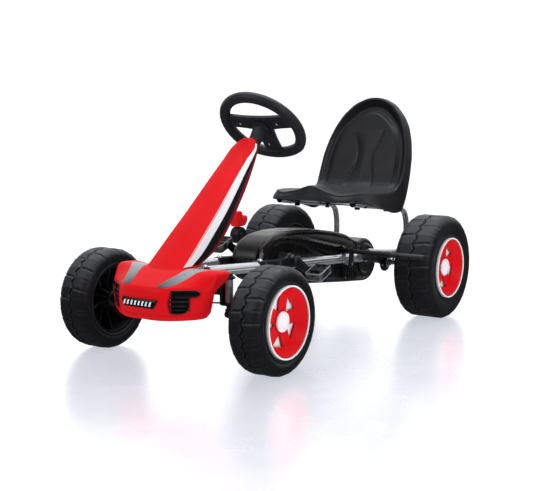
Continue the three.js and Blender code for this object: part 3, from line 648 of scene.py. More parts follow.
# ---------------------------------------------------------------- wheels
LUGS = 14
FACETS = 2 * LUGS
RIM_RADIUS = 81.0
DISH_DEPTH = 24.0
WINDOWS = 5
WHEEL_BODY = {
    ("front", "left"): "front_wheel_left",
    ("front", "right"): "front_wheel_right",
    ("rear", "left"): "rear_axle",
    ("rear", "right"): "rear_wheel_right",
}
WINDOW_PHASE = {"front": math.radians(42), "rear": math.radians(51)}


def tread_depth(across, angle, half):
    """How far the tread lies below its crown, in millimetres."""
    pitch = 2 * np.pi / FACETS
    beat = angle / pitch
    zigzag = 3.4 * (2 * np.abs(2 * (beat % 1) - 1) - 1)
    centre = 4.2 * ridge(across - zigzag, 4.6)
    side = np.sign(across - zigzag)
    lug = (angle * LUGS / (2 * np.pi) + 0.25 * side + 0.0022 * np.abs(across) * side) % 1
    gap = np.minimum(lug, 1 - lug) * 2 * np.pi / LUGS * 110
    reach = smooth((half + 6 - np.abs(across)) / 8)
    cross = 2.4 * ridge(gap, 4.0) * reach
    half_lug = np.abs(lug - 0.5) * 2 * np.pi / LUGS * 110
    sipe = 1.0 * ridge(half_lug, 2.6) * smooth((np.abs(across) - half * 0.45) / 6) * reach
    return np.maximum(np.maximum(centre, cross), sipe)


def tyre_profile(radius, half):
    """Outer half profile of a tyre as (radius, across, share of tread), from the bead to the crown."""
    bead = RIM_RADIUS + 1.2
    shoulder = 21.0
    points = [(bead, half - 7.5, 0), (bead + 0.6, half - 4.2, 0), (bead + 2.4, half - 2.8, 0)]
    points += [(bead + 4.6, half - 3.0, 0), (bead + 5.6, half - 4.2, 0), (bead + 7.0, half - 4.2, 0)]
    low = radius - shoulder
    for t in np.linspace(0.15, 0.9, 6):
        points.append((bead + 7 + (low - bead - 7) * t, half - 4.2 + 4.2 * math.sin(t * math.pi / 2), 0))
    for a in np.linspace(0, math.pi / 2, 15):
        share = smooth((a - 0.25) / 0.5)
        points.append((low + shoulder * math.sin(a), half - shoulder + shoulder * math.cos(a), float(share)))
    flat = half - shoulder
    for t in np.linspace(0, 1, int(flat / 1.7) + 2)[1:]:
        points.append((radius, flat * (1 - t), 1.0))
    return np.array(points)


def tyre(radius, half, steps=336):
    near = tyre_profile(radius, half)
    far = near[::-1][1:] * np.array([1, -1, 1])
    profile = np.vstack([near, far])
    angles = np.linspace(0, 2 * np.pi, steps, endpoint=False)
    pitch = 2 * np.pi / FACETS
    rings = []
    for a in angles:
        facet = np.cos(((a + pitch / 2) % pitch) - pitch / 2)
        swell = 1 / facet / (1 / np.cos(pitch / 2))
        reach = profile[:, 0] * (1 - profile[:, 2] * (1 - swell))
        reach = reach - tread_depth(profile[:, 1], a, half) * profile[:, 2]
        rings.append(np.column_stack([profile[:, 1], reach * np.cos(a), reach * np.sin(a)]))
    return loft(rings, joined=True)


def rim(ring):
    """The pale part of a rim: its bright outer ring and the web behind the cover's windows."""
    web = ring - DISH_DEPTH - 6
    r = RIM_RADIUS
    profile = [
        (20, web - 3), (73, web - 3), (r - 0.5, web - 1), (r, ring - 2.2), (r - 0.5, ring - 0.7),
        (r - 1.6, ring), (78.2, ring), (77.2, ring - 0.8), (76.8, ring - 2.4), (75.6, web), (20, web),
    ]
    return lathe(profile, 96)


def rim_barrel(half, ring, bore):
    """The black inner side of a rim: barrel, hub and ten stiffening ribs."""
    web = ring - DISH_DEPTH - 6
    barrel = half - 8
    r = RIM_RADIUS
    profile = [
        (bore, -30), (17.5, -30), (19, -28.5), (19, web - 8.5), (20.5, web - 7), (73, web - 7),
        (74.6, web - 8.5), (76, -barrel + 1), (77, -barrel), (r - 1.5, -barrel), (r - 0.5, -barrel + 1),
        (r - 0.4, web - 3.4), (19, web - 3.4), (19, web + 5), (bore, web + 5),
    ]
    ribs = []
    for i in range(WINDOWS * 2):
        turn = Matrix.Rotation(2 * math.pi * i / (WINDOWS * 2), 4, "X")
        outline = [(18, web - 2), (18, -24), (30, -8), (76, -barrel + 12), (76, web - 2)]
        ribs.append(moved(prism([(x, z) for z, x in outline], -1.5, 1.5, "y", 0.5), turn))
    return merged(lathe(profile, 96), *ribs)


def window_outline(turn, grow):
    """A triangular opening with round corners, pointing at the hub."""
    corners = [(25 - 1.2 * grow, 0), (59 + grow * 0.5, -0.36), (59 + grow * 0.5, 0.36)]
    swing = grow / 40
    points = []
    for radius, angle in corners:
        a = turn + angle + (swing * np.sign(angle))
        points.append((radius * math.cos(a), radius * math.sin(a)))
    return rounded(points, [4.5, 5.5, 5.5], 6)


def wheel_cover(ring, phase):
    """The red dished cover with its windows cut through it."""
    floor = ring - DISH_DEPTH
    outer = [(10, floor + 1.2), (24, floor + 1.0), (54, floor), (58.5, floor + 0.6), (61, floor + 2.6)]
    outer += [(73.5, ring - 4.2), (75.2, ring - 2.4), (75.6, ring - 3.2), (75.6, ring - 6)]
    inner = [(73, ring - 8.5), (60, floor), (57, floor - 3.6), (24, floor - 3), (10, floor - 2)]
    dish = lathe(outer + inner, 120)
    cutters = []
    for i in range(WINDOWS):
        turn = phase + 2 * math.pi * i / WINDOWS
        levels = [(floor - 8, 0.0), (floor - 0.8, 0.0), (floor + 0.9, 1.5), (floor + 8, 2.4)]
        rings = []
        for x, grow in levels:
            outline = window_outline(turn, grow)
            rings.append(np.column_stack([np.full(len(outline), x), outline]))
        cutters.append(loft(rings))
    return cut(dish, *cutters)


def hub_cap(ring):
    """The pale cap over the hub, with a shallow ring pressed in its top."""
    seat = ring - DISH_DEPTH + 1.35
    profile = [(0.05, seat), (22, seat), (23, seat + 1), (23, seat + 4.4), (21.8, seat + 6.2)]
    profile += [(18.5, seat + 8), (15, seat + 9), (13.8, seat + 8.5), (12.6, seat + 9.1), (0.05, seat + 9.8)]
    return lathe(profile, 64)


def build_wheel(end, name, side):
    """One wheel; its size and place come from the CAD tyre and rim that it stands for."""
    low, high = node_box(f"{end}_tyre_{name}")
    centre = (low + high) / 2
    radius, half = (high[2] - low[2]) / 2, (high[0] - low[0]) / 2
    rim_low, rim_high = node_box(f"{end}_rim_{name}")
    ring = max(abs(rim_low[0]), abs(rim_high[0])) - abs(centre[0])
    bore = node_box("rear_axle")[1][2] - node_box("rear_axle")[0][2]
    body = WHEEL_BODY[end, name]
    parts = (
        ("tyre", tyre(radius, half), TYRE, "tyre"),
        ("rim", rim(ring), PALE, "pale_plastic"),
        ("barrel", rim_barrel(half, ring, bore / 2 + 0.5), BLACK, "black_plastic"),
        ("wheel_cover", wheel_cover(ring, WINDOW_PHASE[end]), RED, "red_plastic"),
        ("hub_cap", hub_cap(ring), PALE, "pale_plastic"),
    )
    for kind, part, look, slot in parts:
        placed = shifted(mirrored(part, side), centre)
        nodes = [] if kind == "barrel" else [f"{end}_{kind}_{name}"]
        piece(f"{end}_{name}_{kind}", placed, look, body, nodes)


def build_wheels():
    for end in ("front", "rear"):
        for name, side in SIDES:
            build_wheel(end, name, side)


# ---------------------------------------------------------------- bumper
# Half-width stations: front depth, height of the bottom, of the brow and of the hood.
BUMPER_X = (0, 49, 73, 105, 127, 142)
FRONT_Y = curve((0, 28, 48, 62, 76, 105, 127, 142), (-160, -159.8, -156.8, -151.2, -142.5, -121, -104, -88))
BOTTOM_Z = curve(BUMPER_X, (120, 120, 120, 121, 124, 132))
BROW_Z = curve(BUMPER_X, (192, 192, 191, 190, 188, 184))
HOOD_Z = curve(BUMPER_X, (226, 225.6, 225, 225, 225.5, 224))
BUMPER_HALF = 142.0
END_ROUND = 9.0
FACE_Z = 158.0


def bumper_outline(x, pull, opening, shrink=1.0):
    """The bumper's side outline at a sideways place; opening moves its back edge rearwards."""
    across = abs(x)
    front, bottom, brow, hood = (float(f(across)) for f in (FRONT_Y, BOTTOM_Z, BROW_Z, HOOD_Z))
    lip = 0 if pull else 1.4
    sweep = 15 * smooth((across - 66) / 60)
    corners = [
        (-84 + opening, bottom + pull), (min(front + 9, -87) + pull, bottom + pull),
        (front + 5.2 + pull, bottom + 11 + pull), (front + 5.4 + lip + pull, bottom + 12.6 + pull),
        (front + pull, FACE_Z), (front + 8 + pull, brow - pull), (-66, hood - pull),
        (-29 + sweep + opening, hood - 4 - pull), (-33 + sweep + opening, hood - 15 - pull),
        (-72 + opening, brow + 2 - pull),
    ]
    radii = [3, 8, 1.0, 1.0, 34, 9, 16, 3, 3, 12]
    flat = rounded(corners, radii, 6)
    middle = (flat.min(0) + flat.max(0)) / 2
    flat = middle + (flat - middle) * shrink
    narrowing = 1 - 0.04 * smooth((205 - flat[:, 1]) / 60)
    return np.column_stack([x * narrowing, flat])


def bumper_solid(half, pull, opening):
    """A loft across the bumper, drawn in at both ends so that they are round."""
    straight = half - END_ROUND
    middle = np.linspace(-straight, straight, 95)
    turn = np.linspace(0, math.pi / 2, 9)[1:]
    ends = straight + END_ROUND * np.sin(turn)
    shrink = 1 - (1 - np.cos(turn)) * END_ROUND / 55
    rings = [bumper_outline(-x, pull, opening, s) for x, s in zip(ends[::-1], shrink[::-1])]
    rings += [bumper_outline(x, pull, opening) for x in middle]
    rings += [bumper_outline(x, pull, opening, s) for x, s in zip(ends, shrink)]
    return loft(rings)


GRILLE = [
    (73, 187.5), (73, 138.5), (98, 138.5), (106, 150), (107, 174.5), (119, 175), (125, 180.5), (117, 187.5),
]
GRILLE_ROUND = [2, 2, 9, 9, 2, 3, 3, 5]


def face_point(x, z, lift):
    """A point on the bumper's front face, lifted forwards."""
    front = float(FRONT_Y(abs(x)))
    if z > FACE_Z:
        rise = 8 * smooth((z - FACE_Z) / (float(BROW_Z(abs(x))) - FACE_Z))
    else:
        rise = 7 * ((FACE_Z - z) / 26)
    return np.array([x, front + min(rise, 8) - lift, z])


def face_bar(points, lift, depth, height):
    """A bar that follows the front face through (x, z) points."""
    front = [face_point(x, z, lift) for x, z in points]
    back = [p + np.array([0, depth, 0]) for p in front]
    rings = []
    for near, far in zip(front, back):
        lower, upper = np.array([0, 0, -height / 2]), np.array([0, 0, height / 2])
        rings.append([near + lower * 0.5, near + upper * 0.5, near * 0.8 + far * 0.2 + upper,
                      far + upper, far + lower, near * 0.8 + far * 0.2 + lower])
    return loft(rings)


def grille(side):
    """The insert behind the opening: a back panel, louvres and a frame that lines the opening."""
    xs, zs = np.linspace(69, 128, 24), np.linspace(135, 190, 20)
    depth = 9.0
    top = [[face_point(x, z, -depth) for x in xs] for z in zs]
    bottom = [[face_point(x, z, -depth - 2) for x in xs] for z in zs]
    parts = [slab(top, bottom)]
    for z in (145.5, 154.5, 163.5):
        parts.append(face_bar([(x, z) for x in np.linspace(72, 107, 12)], -2.6, 7, 3.6))
    parts.append(face_bar([(x, 173.2) for x in np.linspace(72, 109, 12)], -1.2, 8, 3.0))
    parts.append(face_bar([(x, 184.5) for x in np.linspace(72, 120, 14)], -1.6, 8, 2.6))
    outline = rounded(GRILLE, GRILLE_ROUND, 4)
    path = [face_point(x, z, 0.1) for x, z in resampled(outline, 90)]
    parts.append(tube(path, 1.3, 10, closed=True))
    return mirrored(merged(*parts), side)


def draped(surface, edges, lift=0.7, sink=1.2, rows=26, columns=9):
    """A thin strip laid over a surface seen from above, between two edge lines of (x, y) points."""
    tree = BVHTree.FromPolygons([tuple(p) for p in surface[0]], surface[1])
    first, second = (resampled(edge, rows, closed=False) for edge in edges)
    top = np.zeros((rows, columns, 3))
    for r in range(rows):
        for c in range(columns):
            t = c / (columns - 1)
            x, y = first[r] * (1 - t) + second[r] * t
            hit = tree.ray_cast(Vector((x, y, 400)), Vector((0, 0, -1)))[0]
            round_off = 0.5 * (abs(2 * t - 1) ** 6)
            top[r, c] = (x, y, hit.z + lift - round_off)
    return slab(top, top - np.array([0, 0, lift + sink]))


def build_bumper():
    """The bumper shell with its grilles, hood strips and badge."""
    shell = cut(bumper_solid(BUMPER_HALF, 0, 0), bumper_solid(BUMPER_HALF - 3, 3, 26))
    holes = []
    for _, side in SIDES:
        outline = rounded([(x * side, z) for x, z in GRILLE], GRILLE_ROUND, 4)
        holes.append(prism(outline, -200, -62, "y"))
    shell = cut(shell, *holes)
    piece("bumper_shell", shell, RED, "frame", ["front_bumper"])
    for name, side in SIDES:
        piece(f"bumper_grille_insert_{name}", grille(side), BLACK, "frame",
              [f"bumper_grille_{name}"])
        edges = ([(38, -149), (42, -124), (52, -98), (60, -68), (63, -36)],
                 [(63, -139), (72, -122), (81, -104), (92, -76), (112, -48)])
        edges = [[(x * side, y) for x, y in edge] for edge in edges]
        piece(f"hood_strip_{name}", draped(shell, edges), STRIP, "frame")
    build_badge()


def build_badge():
    """A blank badge: a black plate with slanted ends and a row of plain pale bars."""
    rows, columns = 7, 40
    top, bottom = np.zeros((rows, columns, 3)), np.zeros((rows, columns, 3))
    for r, t in enumerate(np.linspace(0, 1, rows)):
        z = 167 - 19 * t
        left, right = -50 + 7 * t, 50 - 10 * t
        for c, x in enumerate(np.linspace(left, right, columns)):
            rim_drop = 0.9 if r in (0, rows - 1) or c in (0, columns - 1) else 0
            top[r, c] = face_point(x, z, 1.8 - rim_drop)
            bottom[r, c] = face_point(x, z, -2.0)
    piece("badge_backing", slab(top, bottom), GLOSS_BLACK, "frame", ["badge_plate"])
    bars = []
    for i in range(8):
        x = -38 + 10.2 * i
        path = [face_point(x - 2.2 + 4.4 * t, 152.5 + 10.5 * t, 2.2) for t in np.linspace(0, 1, 6)]
        wide = np.array([2.3, 0, 0])
        thick = np.array([0, 1.2, 0])
        bars.append(loft([[p - wide, p + wide, p + wide + thick, p - wide + thick] for p in path]))
    piece("badge_bars", eased(merged(*bars), 0.4), PALE, "frame")


# ---------------------------------------------------------------- nose
NOSE_Z = (227, 250, 286, 333, 411, 480, 496)
NOSE_HALF = curve(NOSE_Z, (52, 50.5, 48, 44.5, 39, 34.5, 31))
NOSE_FRONT = curve(NOSE_Z, (-66, -38, 5, 62, 152, 233, 248))
NOSE_REAR = curve(NOSE_Z, (-4, 49, 96, 143, 208, 250, 257))
NOSE_LOW, NOSE_HIGH = 221.0, 498.5
NOSE_EDGE = 7.0
NOSE_CROWN = 6.0
WHITE_START = curve((225, 450, 480, 497), (0.035, 0.035, 0.3, 0.6))
WHITE_END = curve((225, 280, 340, 420, 476, 497), (0.48, 0.47, 0.50, 0.49, 0.69, 0.8))
BLACK_END = curve((225, 240, 280, 340, 420, 480), (0.80, 0.86, 0.87, 0.83, 0.76, 0.82))


def nose_front(z):
    """Front depth of the nose; below its first station it runs on at the same slope."""
    slope = 28 / 23
    return float(NOSE_FRONT(z)) - max(0.0, NOSE_Z[0] - z) * slope


def nose_tip(z):
    """How far the flanks draw in near the top, to round it off."""
    climb = min(max((z - 466) / 33, 0.0), 1.0)
    return 26 * (1 - math.sqrt(1 - climb ** 2))


def nose_outline(z, pull, opening):
    """The nose's level outline at a height, from its left rear edge round the front."""
    half = float(NOSE_HALF(z)) - pull
    front = nose_front(z) + pull
    rear = max(float(NOSE_REAR(z)), front + 6) + opening
    edge = min(NOSE_EDGE, (rear - front) / 2)
    half -= nose_tip(z)
    side = [(half, y) for y in np.linspace(rear, front + edge, 8)]
    bend = []
    for a in np.linspace(0, math.pi / 2, 6)[1:]:
        bend.append((half - edge + edge * math.cos(a), front + edge - edge * math.sin(a)))
    flat = half - edge
    face = [(x, front - NOSE_CROWN * (1 - (x / flat) ** 2)) for x in np.linspace(flat, 0, 9)[1:]]
    right = side + bend + face
    outline = right + [(-x, y) for x, y in right[::-1][1:]]
    return np.array([(x, y, z) for x, y in outline])


def nose_solid(pull, opening, low, high):
    return loft([nose_outline(z, pull, opening) for z in np.linspace(low, high, 90)])


def nose_side_point(z, share, lift):
    """A point on the nose's left flank; share runs from its front edge (0) to its rear (1)."""
    front, rear = nose_front(z), float(NOSE_REAR(z))
    y = front + (rear - front) * share
    half = float(NOSE_HALF(z)) - nose_tip(z)
    edge = min(NOSE_EDGE, (rear - front) / 2)
    into = min(1.0, (y - front) / edge)
    bend = edge * (1 - math.sqrt(max(0.0, 1 - (1 - into) ** 2)))
    return np.array([half - bend + lift, y, z])


def nose_band(first, last, low, high, lift=0.35):
    """A thin inlay on the flank between two shares of its depth."""
    rows, columns = 70, 8
    top, bottom = np.zeros((rows, columns, 3)), np.zeros((rows, columns, 3))
    for r, z in enumerate(np.linspace(low, high, rows)):
        for c, t in enumerate(np.linspace(0, 1, columns)):
            share = first(z) + (last(z) - first(z)) * t
            top[r, c] = nose_side_point(z, share, lift)
            bottom[r, c] = nose_side_point(z, share, -0.8)
    return slab(top, bottom)


def build_nose():
    """The red nose shell with three inlaid bands on each flank."""
    shell = cut(nose_solid(0, 0, NOSE_LOW, NOSE_HIGH), nose_solid(2.6, 40, NOSE_LOW - 6, NOSE_HIGH - 3))
    piece("nose_shell", shell, RED, "frame", ["nose_cone"])
    bands = (
        ("white", WHITE_START, WHITE_END, PALE, "pale_plastic"),
        ("black", lambda z: float(WHITE_END(z)) + 0.012, BLACK_END, GLOSS_BLACK, "black_plastic"),
        ("seam", lambda z: float(BLACK_END(z)) + 0.01, lambda z: 1.0, DEEP_RED, "red_plastic"),
    )
    for colour, first, last, look, slot in bands:
        for name, side in SIDES:
            high = 486 if colour == "white" else 490
            band = mirrored(nose_band(first, last, 226.5, high), side)
            piece(f"nose_band_{colour}_{name}", band, look, "frame")


# ---------------------------------------------------------------- shapes with relief
def signed_distance(points, outline):
    """Distance from each 2-D point to a closed outline, positive inside it."""
    closed = np.vstack([outline, outline[:1]]).astype(float)
    inside = np.zeros(len(points), bool)
    for a, b in zip(closed[:-1], closed[1:]):
        if a[1] == b[1]:
            continue
        crosses = (a[1] > points[:, 1]) != (b[1] > points[:, 1])
        at = a[0] + (points[:, 1] - a[1]) * (b[0] - a[0]) / (b[1] - a[1])
        inside ^= crosses & (points[:, 0] < at)
    return distance_to_line(points, closed) * np.where(inside, 1, -1)


def within(points, outline, blend):
    """1 inside an outline and 0 outside it, turning over a band of a given width."""
    return smooth(0.5 + signed_distance(points, np.asarray(outline, float)) / blend)


def shrinking_rows(outline, spine, near, rows):
    """Rows of 2-D points from an outline in to its spine; near lists the first distances in."""
    reach = np.maximum(np.linalg.norm(spine - outline, axis=1), 1e-6)
    shares = [np.minimum(d / reach, 1) for d in near]
    last = shares[-1]
    shares += [last + (1 - last) * t for t in np.linspace(0, 1, rows + 1)[1:]]
    return [outline + (spine - outline) * share[:, None] for share in shares]


def quarter_round(depth, across, down):
    """How far an eased rim lies back: across at the very edge, 0 once depth reaches down."""
    t = np.clip(1 - depth / down, 0, 1)
    return across * (1 - np.sqrt(1 - t * t))


# ---------------------------------------------------------------- chain case
CRANK_Y, CRANK_Z = joint_place("crank_spin")[1:]
AXLE_Y, AXLE_Z = joint_place("rear_axle_spin")[1:]
CASE_HALF = 45.0
CASE_WALL = 2.4
CASE_SEAM = 0.18
CASE_LOBE = 60.5
CASE_TOP = [
    (262, 148), (243, 160), (236, 190), (241, 219), (262, 242), (300, 256), (360, 261), (430, 259),
    (520, 250), (600, 237), (668, 222), (712, 203), (738, 196),
]
CASE_FOOT = [(649, 91), (468, 113), (340, 124)]
CASE_PAD = [
    (222, 140), (246, 205), (257, 232), (284, 247), (345, 251), (467, 229), (594, 199), (652, 187),
    (692, 197), (712, 90), (340, 100),
]
CASE_PANEL = [
    (274, 144), (276, 208), (292, 229), (327, 239), (372, 236), (433, 223), (482, 205), (560, 186),
    (640, 170), (652, 104), (468, 124), (340, 134),
]
ROOF_CHANNEL = {"half": 28.0, "depth": 7.0, "front": 556.0, "rear": 706.0}


def case_outline():
    lobe = [
        (AXLE_Y + CASE_LOBE * math.cos(a), AXLE_Z + CASE_LOBE * math.sin(a))
        for a in np.radians(np.linspace(100, -95, 26))
    ]
    corners = rounded(CASE_TOP + lobe + CASE_FOOT, 14, 4)
    return resampled(corners[::-1], 480)


def case_face(points, outline):
    """Sideways place of the near shell's face at (y, z) points."""
    y, z = points.T
    depth = np.abs(signed_distance(points, outline))
    upper = smooth((z - 150) / 30)
    down = upper * np.interp(y, [240, 400, 600, 720], [13, 20, 38, 24]) + (1 - upper) * 11
    x = CASE_HALF - quarter_round(depth, 15, down)
    x -= 4.6 * (1 - within(points, CASE_PAD, 5)) * smooth((depth - 4) / 8)
    x -= 7.0 * within(points, CASE_PANEL, 6)
    x += 2.0 * ridge(signed_distance(points, CASE_PAD), 5) * smooth((depth - 6) / 6)
    x += 1.4 * ridge(signed_distance(points, CASE_PANEL) - 3, 4.5)
    lobe = np.hypot(y - AXLE_Y, z - AXLE_Z)
    x += 2.6 * smooth((48 - lobe) / 5) - 1.8 * smooth((38 - lobe) / 4)
    ribbed = within(points, [(598, 108), (598, 150), (712, 146), (718, 96), (650, 99)], 6)
    x -= 1.5 * ribbed * (0.5 + 0.5 * np.cos(2 * math.pi * y / 11))
    for slot_y in (694, 705, 716):
        x -= 3.0 * ridge(y - slot_y, 3.4) * smooth((z - 168) / 4) * smooth((196 - z) / 4)
    return x


def case_shell():
    """The left shell: rim rows out from the seam, then rows across the face to its spine."""
    outline = case_outline()
    spine_y = np.clip(outline[:, 0], 290, 738)
    spine = np.column_stack([spine_y, np.interp(spine_y, [290, 420, 600, 738], [192, 190, 166, 143])])
    faces = shrinking_rows(outline, spine, [0.0, 0.3, 1.0, 2.2, 4.0, 6.5, 10.0, 14.0, 18.0], 26)
    rim_x = case_face(faces[0], outline)
    inward = inset(outline, 1.0) - outline
    roof = smooth((inward[:, 1] * -1 - 0.5) / 0.2)
    channel = ROOF_CHANNEL
    along = smooth((outline[:, 0] - channel["front"]) / 9) * smooth((channel["rear"] - outline[:, 0]) / 9)
    rows = []
    for share in (0.0, 0.3, 0.6, 0.8, 0.86, 0.9, 0.94, 0.98):
        x = CASE_SEAM + (rim_x - CASE_SEAM) * share
        drop = channel["depth"] * along * roof * smooth((channel["half"] - x) / 3)
        place = outline + inward * drop[:, None]
        rows.append(np.column_stack([x, place]))
    for face in faces:
        rows.append(np.column_stack([case_face(face, outline), face]))
    return sheet(rows, wrapped=True)


def build_case():
    """The two shells of the chain case, each with its crank collar and screws."""
    reach = (-10, node_box("chain_case_left")[1][0] + 20)
    holes = [
        turned((reach[0], CRANK_Y, CRANK_Z), (reach[1], CRANK_Y, CRANK_Z), [(0, 11), (75, 11)], 40),
        turned((reach[0], AXLE_Y, AXLE_Z), (reach[1], AXLE_Y, AXLE_Z), [(0, 10), (75, 10)], 40),
        prism(rounded([(609, 169.5), (639, 169.5), (639, 194.5), (609, 194.5)], 5, 4), *reach),
    ]
    shell = cut(walled(case_shell(), CASE_WALL), *holes)
    collar = lathe([(11.2, 36.5), (11.2, 44.6), (12, 45.4), (16, 45.4), (18.5, 43.5), (20, 36.5)], 48)
    collar = shifted(collar, (0, CRANK_Y, CRANK_Z))
    screws = [
        dome_bolt((40.5, y, z), (1, 0, 0), 4, 2.2)
        for y, z in ((300, 170), (455, 140), (560, 150), (744, 168), (744, 108))
    ]
    for name, side in SIDES:
        piece(f"chain_case_shell_{name}", mirrored(shell, side), CASE_BLACK, "frame",
              [f"chain_case_{name}"])
        piece(f"chain_case_collar_{name}", mirrored(collar, side), BLACK, "frame")
        piece(f"chain_case_screws_{name}", mirrored(merged(*screws), side), STEEL, "frame")


# ---------------------------------------------------------------- seat
SEAT_PATH = [(540, 348), (620, 345), (700, 338), (780, 337), (808, 380), (842, 470), (874, 556), (889, 594)]
SEAT_OUTLINE = [
    (0, 0), (92, 0), (120, 10), (127, 50), (128, 150), (130, 212), (134, 246), (137, 266), (138, 298),
    (136, 340), (127, 385), (113, 425), (94, 460), (62, 494), (26, 511), (0, 514),
]
SEAT_SKIRT_AT = [0, 50, 150, 205, 240, 275, 320, 370, 425, 470, 514]
SEAT_SKIRT_Y = [0, 1, 2, 13, 21, 22, 23, 21, 18, 15, 12]
SEAT_SKIRT_Z = [-19, -20, -38, -54, -58, -32, -4, -4, -3, -6, -3]
SEAT_SKIRT_OUT = [11, 8, 2, 2, 2, 2, 2, 2, 3, 3, 2]
SEAT_CHANNEL_AT = [245, 280, 312, 350, 385, 416, 440]
SEAT_CHANNEL_HALF = [44, 38, 27, 26, 38, 50, 60]


def seat_wave(x, s):
    """The pan's front edge: a pommel in the middle and a dip under each thigh."""
    return (15 * ridge(x, 60) - 6 * ridge(np.abs(x) - 90, 40)) * (1 - smooth((s - 50) / 80))


def seat_relief(x, s, depth):
    """Height of the moulded relief inside the rim, at x across, s along and depth from the edge."""
    across = np.abs(x)
    back = smooth((s - 236) / 26)
    pan = 1 - smooth((s - 196) / 50)
    hollow = -6 * ridge(across, 90) * ridge(s - 165, 90)
    half = np.interp(s, SEAT_CHANNEL_AT, SEAT_CHANNEL_HALF)
    open_top = 1 - smooth((s - 385) / 36)
    step = 5.5 * (smooth((across - half + 1.5) / 5) - 1) * open_top
    spine = 3.2 * np.clip(1 - (across / half) ** 2, 0, 1) * open_top
    crown = smooth((s - 400) / 60)
    rim_slope = -(9 + 7 * crown) * smooth((depth - 5) / (13 + 9 * crown))
    pad = (6 + 5 * crown) * smooth((depth - 24 - 10 * crown) / 16)
    crease = -3.0 * ridge(s - 246, 7) * smooth((depth - 8) / 10)
    return pan * hollow + back * (step + spine + rim_slope + pad) + crease


def seat_skin():
    """Rows out from the skirt's hem to the crest, then across the seat to its middle line."""
    path = resampled(bent_path(SEAT_PATH, 30, 12), 260, closed=False)
    run = np.concatenate([[0], np.cumsum(np.linalg.norm(np.diff(path, axis=0), axis=1))])
    heading = np.gradient(path, run, axis=0)
    heading /= np.linalg.norm(heading, axis=1)[:, None]
    scale = run[-1] / SEAT_OUTLINE[-1][1]

    def at(s, table):
        return np.column_stack([np.interp(s * scale, run, table[:, k]) for k in (0, 1)])

    left = [(-x, s) for x, s in SEAT_OUTLINE[1:-1]][::-1]
    outline = resampled(rounded(SEAT_OUTLINE + left, 14, 5), 300)
    spine = np.column_stack([np.zeros(len(outline)), np.clip(outline[:, 1], 70, 455)])
    outward = outline - inset(outline, 1.0)
    outward /= np.linalg.norm(outward, axis=1)[:, None]

    def surface(flat):
        x, s = flat.T
        base, ahead = at(s, path), at(s, heading)
        depth = np.abs(signed_distance(flat, outline))
        lift = seat_wave(x, s) + seat_relief(x, s, depth) * smooth(depth / 12) - quarter_round(depth, 6, 6)
        return np.column_stack([x, base[:, 0] - ahead[:, 1] * lift, base[:, 1] + ahead[:, 0] * lift])

    crest = surface(outline)
    wave = seat_wave(*outline.T)
    along = at(outline[:, 1], heading)
    skirt_y, skirt_z, skirt_out = (
        np.interp(outline[:, 1], SEAT_SKIRT_AT, values)
        for values in (SEAT_SKIRT_Y, SEAT_SKIRT_Z, SEAT_SKIRT_OUT)
    )
    rows = []
    for t in (1.0, 0.985, 0.96, 0.8, 0.6, 0.4, 0.2, 0.08):
        flare = t + 0.12 * math.sin(math.pi * t) + (0.1 if t > 0.97 else 0)
        row = crest.copy()
        row[:, 0] += outward[:, 0] * skirt_out * flare
        row[:, 1] += skirt_y * t + outward[:, 1] * along[:, 0] * skirt_out * flare
        row[:, 2] += (skirt_z - wave) * t + outward[:, 1] * along[:, 1] * skirt_out * flare
        rows.append(row)
    for flat in shrinking_rows(outline, spine, [0.0, 0.4, 1.1, 2.2, 3.6, 5.2, 7.0, 9.5, 12.5], 40):
        rows.append(surface(flat))
    return sheet(rows, wrapped=True)


SEAT_TUBE_FALL = -0.125
SEAT_TUBE_RADIUS = 8.0
SEAT_WALL = 3.4
CLAMP_POST_X = 95
CLAMP_NUT_X = 118


def slide_clamp(node, knobs):
    """A bar under the seat tubes with two posts, two nuts and, where no knob goes, two studs."""
    low, high = node_box(node)
    middle, reach = (low + high) / 2, high[0] - 5
    bar_z = low[2] + 15
    tilt = Matrix.Rotation(math.atan(SEAT_TUBE_FALL), 4, "X")
    plate = prism(rounded([(-reach, -10), (reach, -10), (reach, 10), (-reach, 10)], 5, 4), -3, 0, "z", 0.6)
    parts = [plate]
    post = [(0, 7), (5, 7), (6, 4), (high[2] - bar_z - 2, 4)]
    stud = [(0, 6), (5, 6.4), (6, 4), (10, 4)]
    for side in (1, -1):
        x = side * CLAMP_POST_X
        parts.append(turned((x, 0, -2), (x, 0, high[2] - bar_z - 3), post, 24))
        parts.append(hex_bolt((side * CLAMP_NUT_X, 0, -3), (0, 0, -1), 10, 4))
        if not knobs:
            parts.append(turned((x, 0, -12), (x, 0, -2), stud, 24))
    place = Matrix.Translation((0, middle[1], bar_z)) @ tilt
    bores = [seat_tube(side, SEAT_TUBE_RADIUS + 0.4) for side in (1, -1)]
    return merged(*[cut(moved(part, place), *bores) for part in parts])


def seat_knob(node):
    """A ribbed hand knob under the front clamp."""
    low, high = node_box(node)
    centre = (low + high) / 2 + np.array([0, 0, 10])
    angles = np.linspace(0, 2 * np.pi, 72, endpoint=False)
    ribs = 1 - 0.1 * (0.5 + 0.5 * np.cos(9 * angles))
    rings = []
    for z, r in ((-4, 5.5), (-3.4, 7), (-2, 7.6), (3, 7.6), (5, 6.4), (6, 4.5)):
        radius = r * (ribs if r > 6.9 else 1)
        ring = np.column_stack([radius * np.cos(angles), radius * np.sin(angles), np.full(72, z)])
        rings.append(ring + centre)
    return loft(rings)


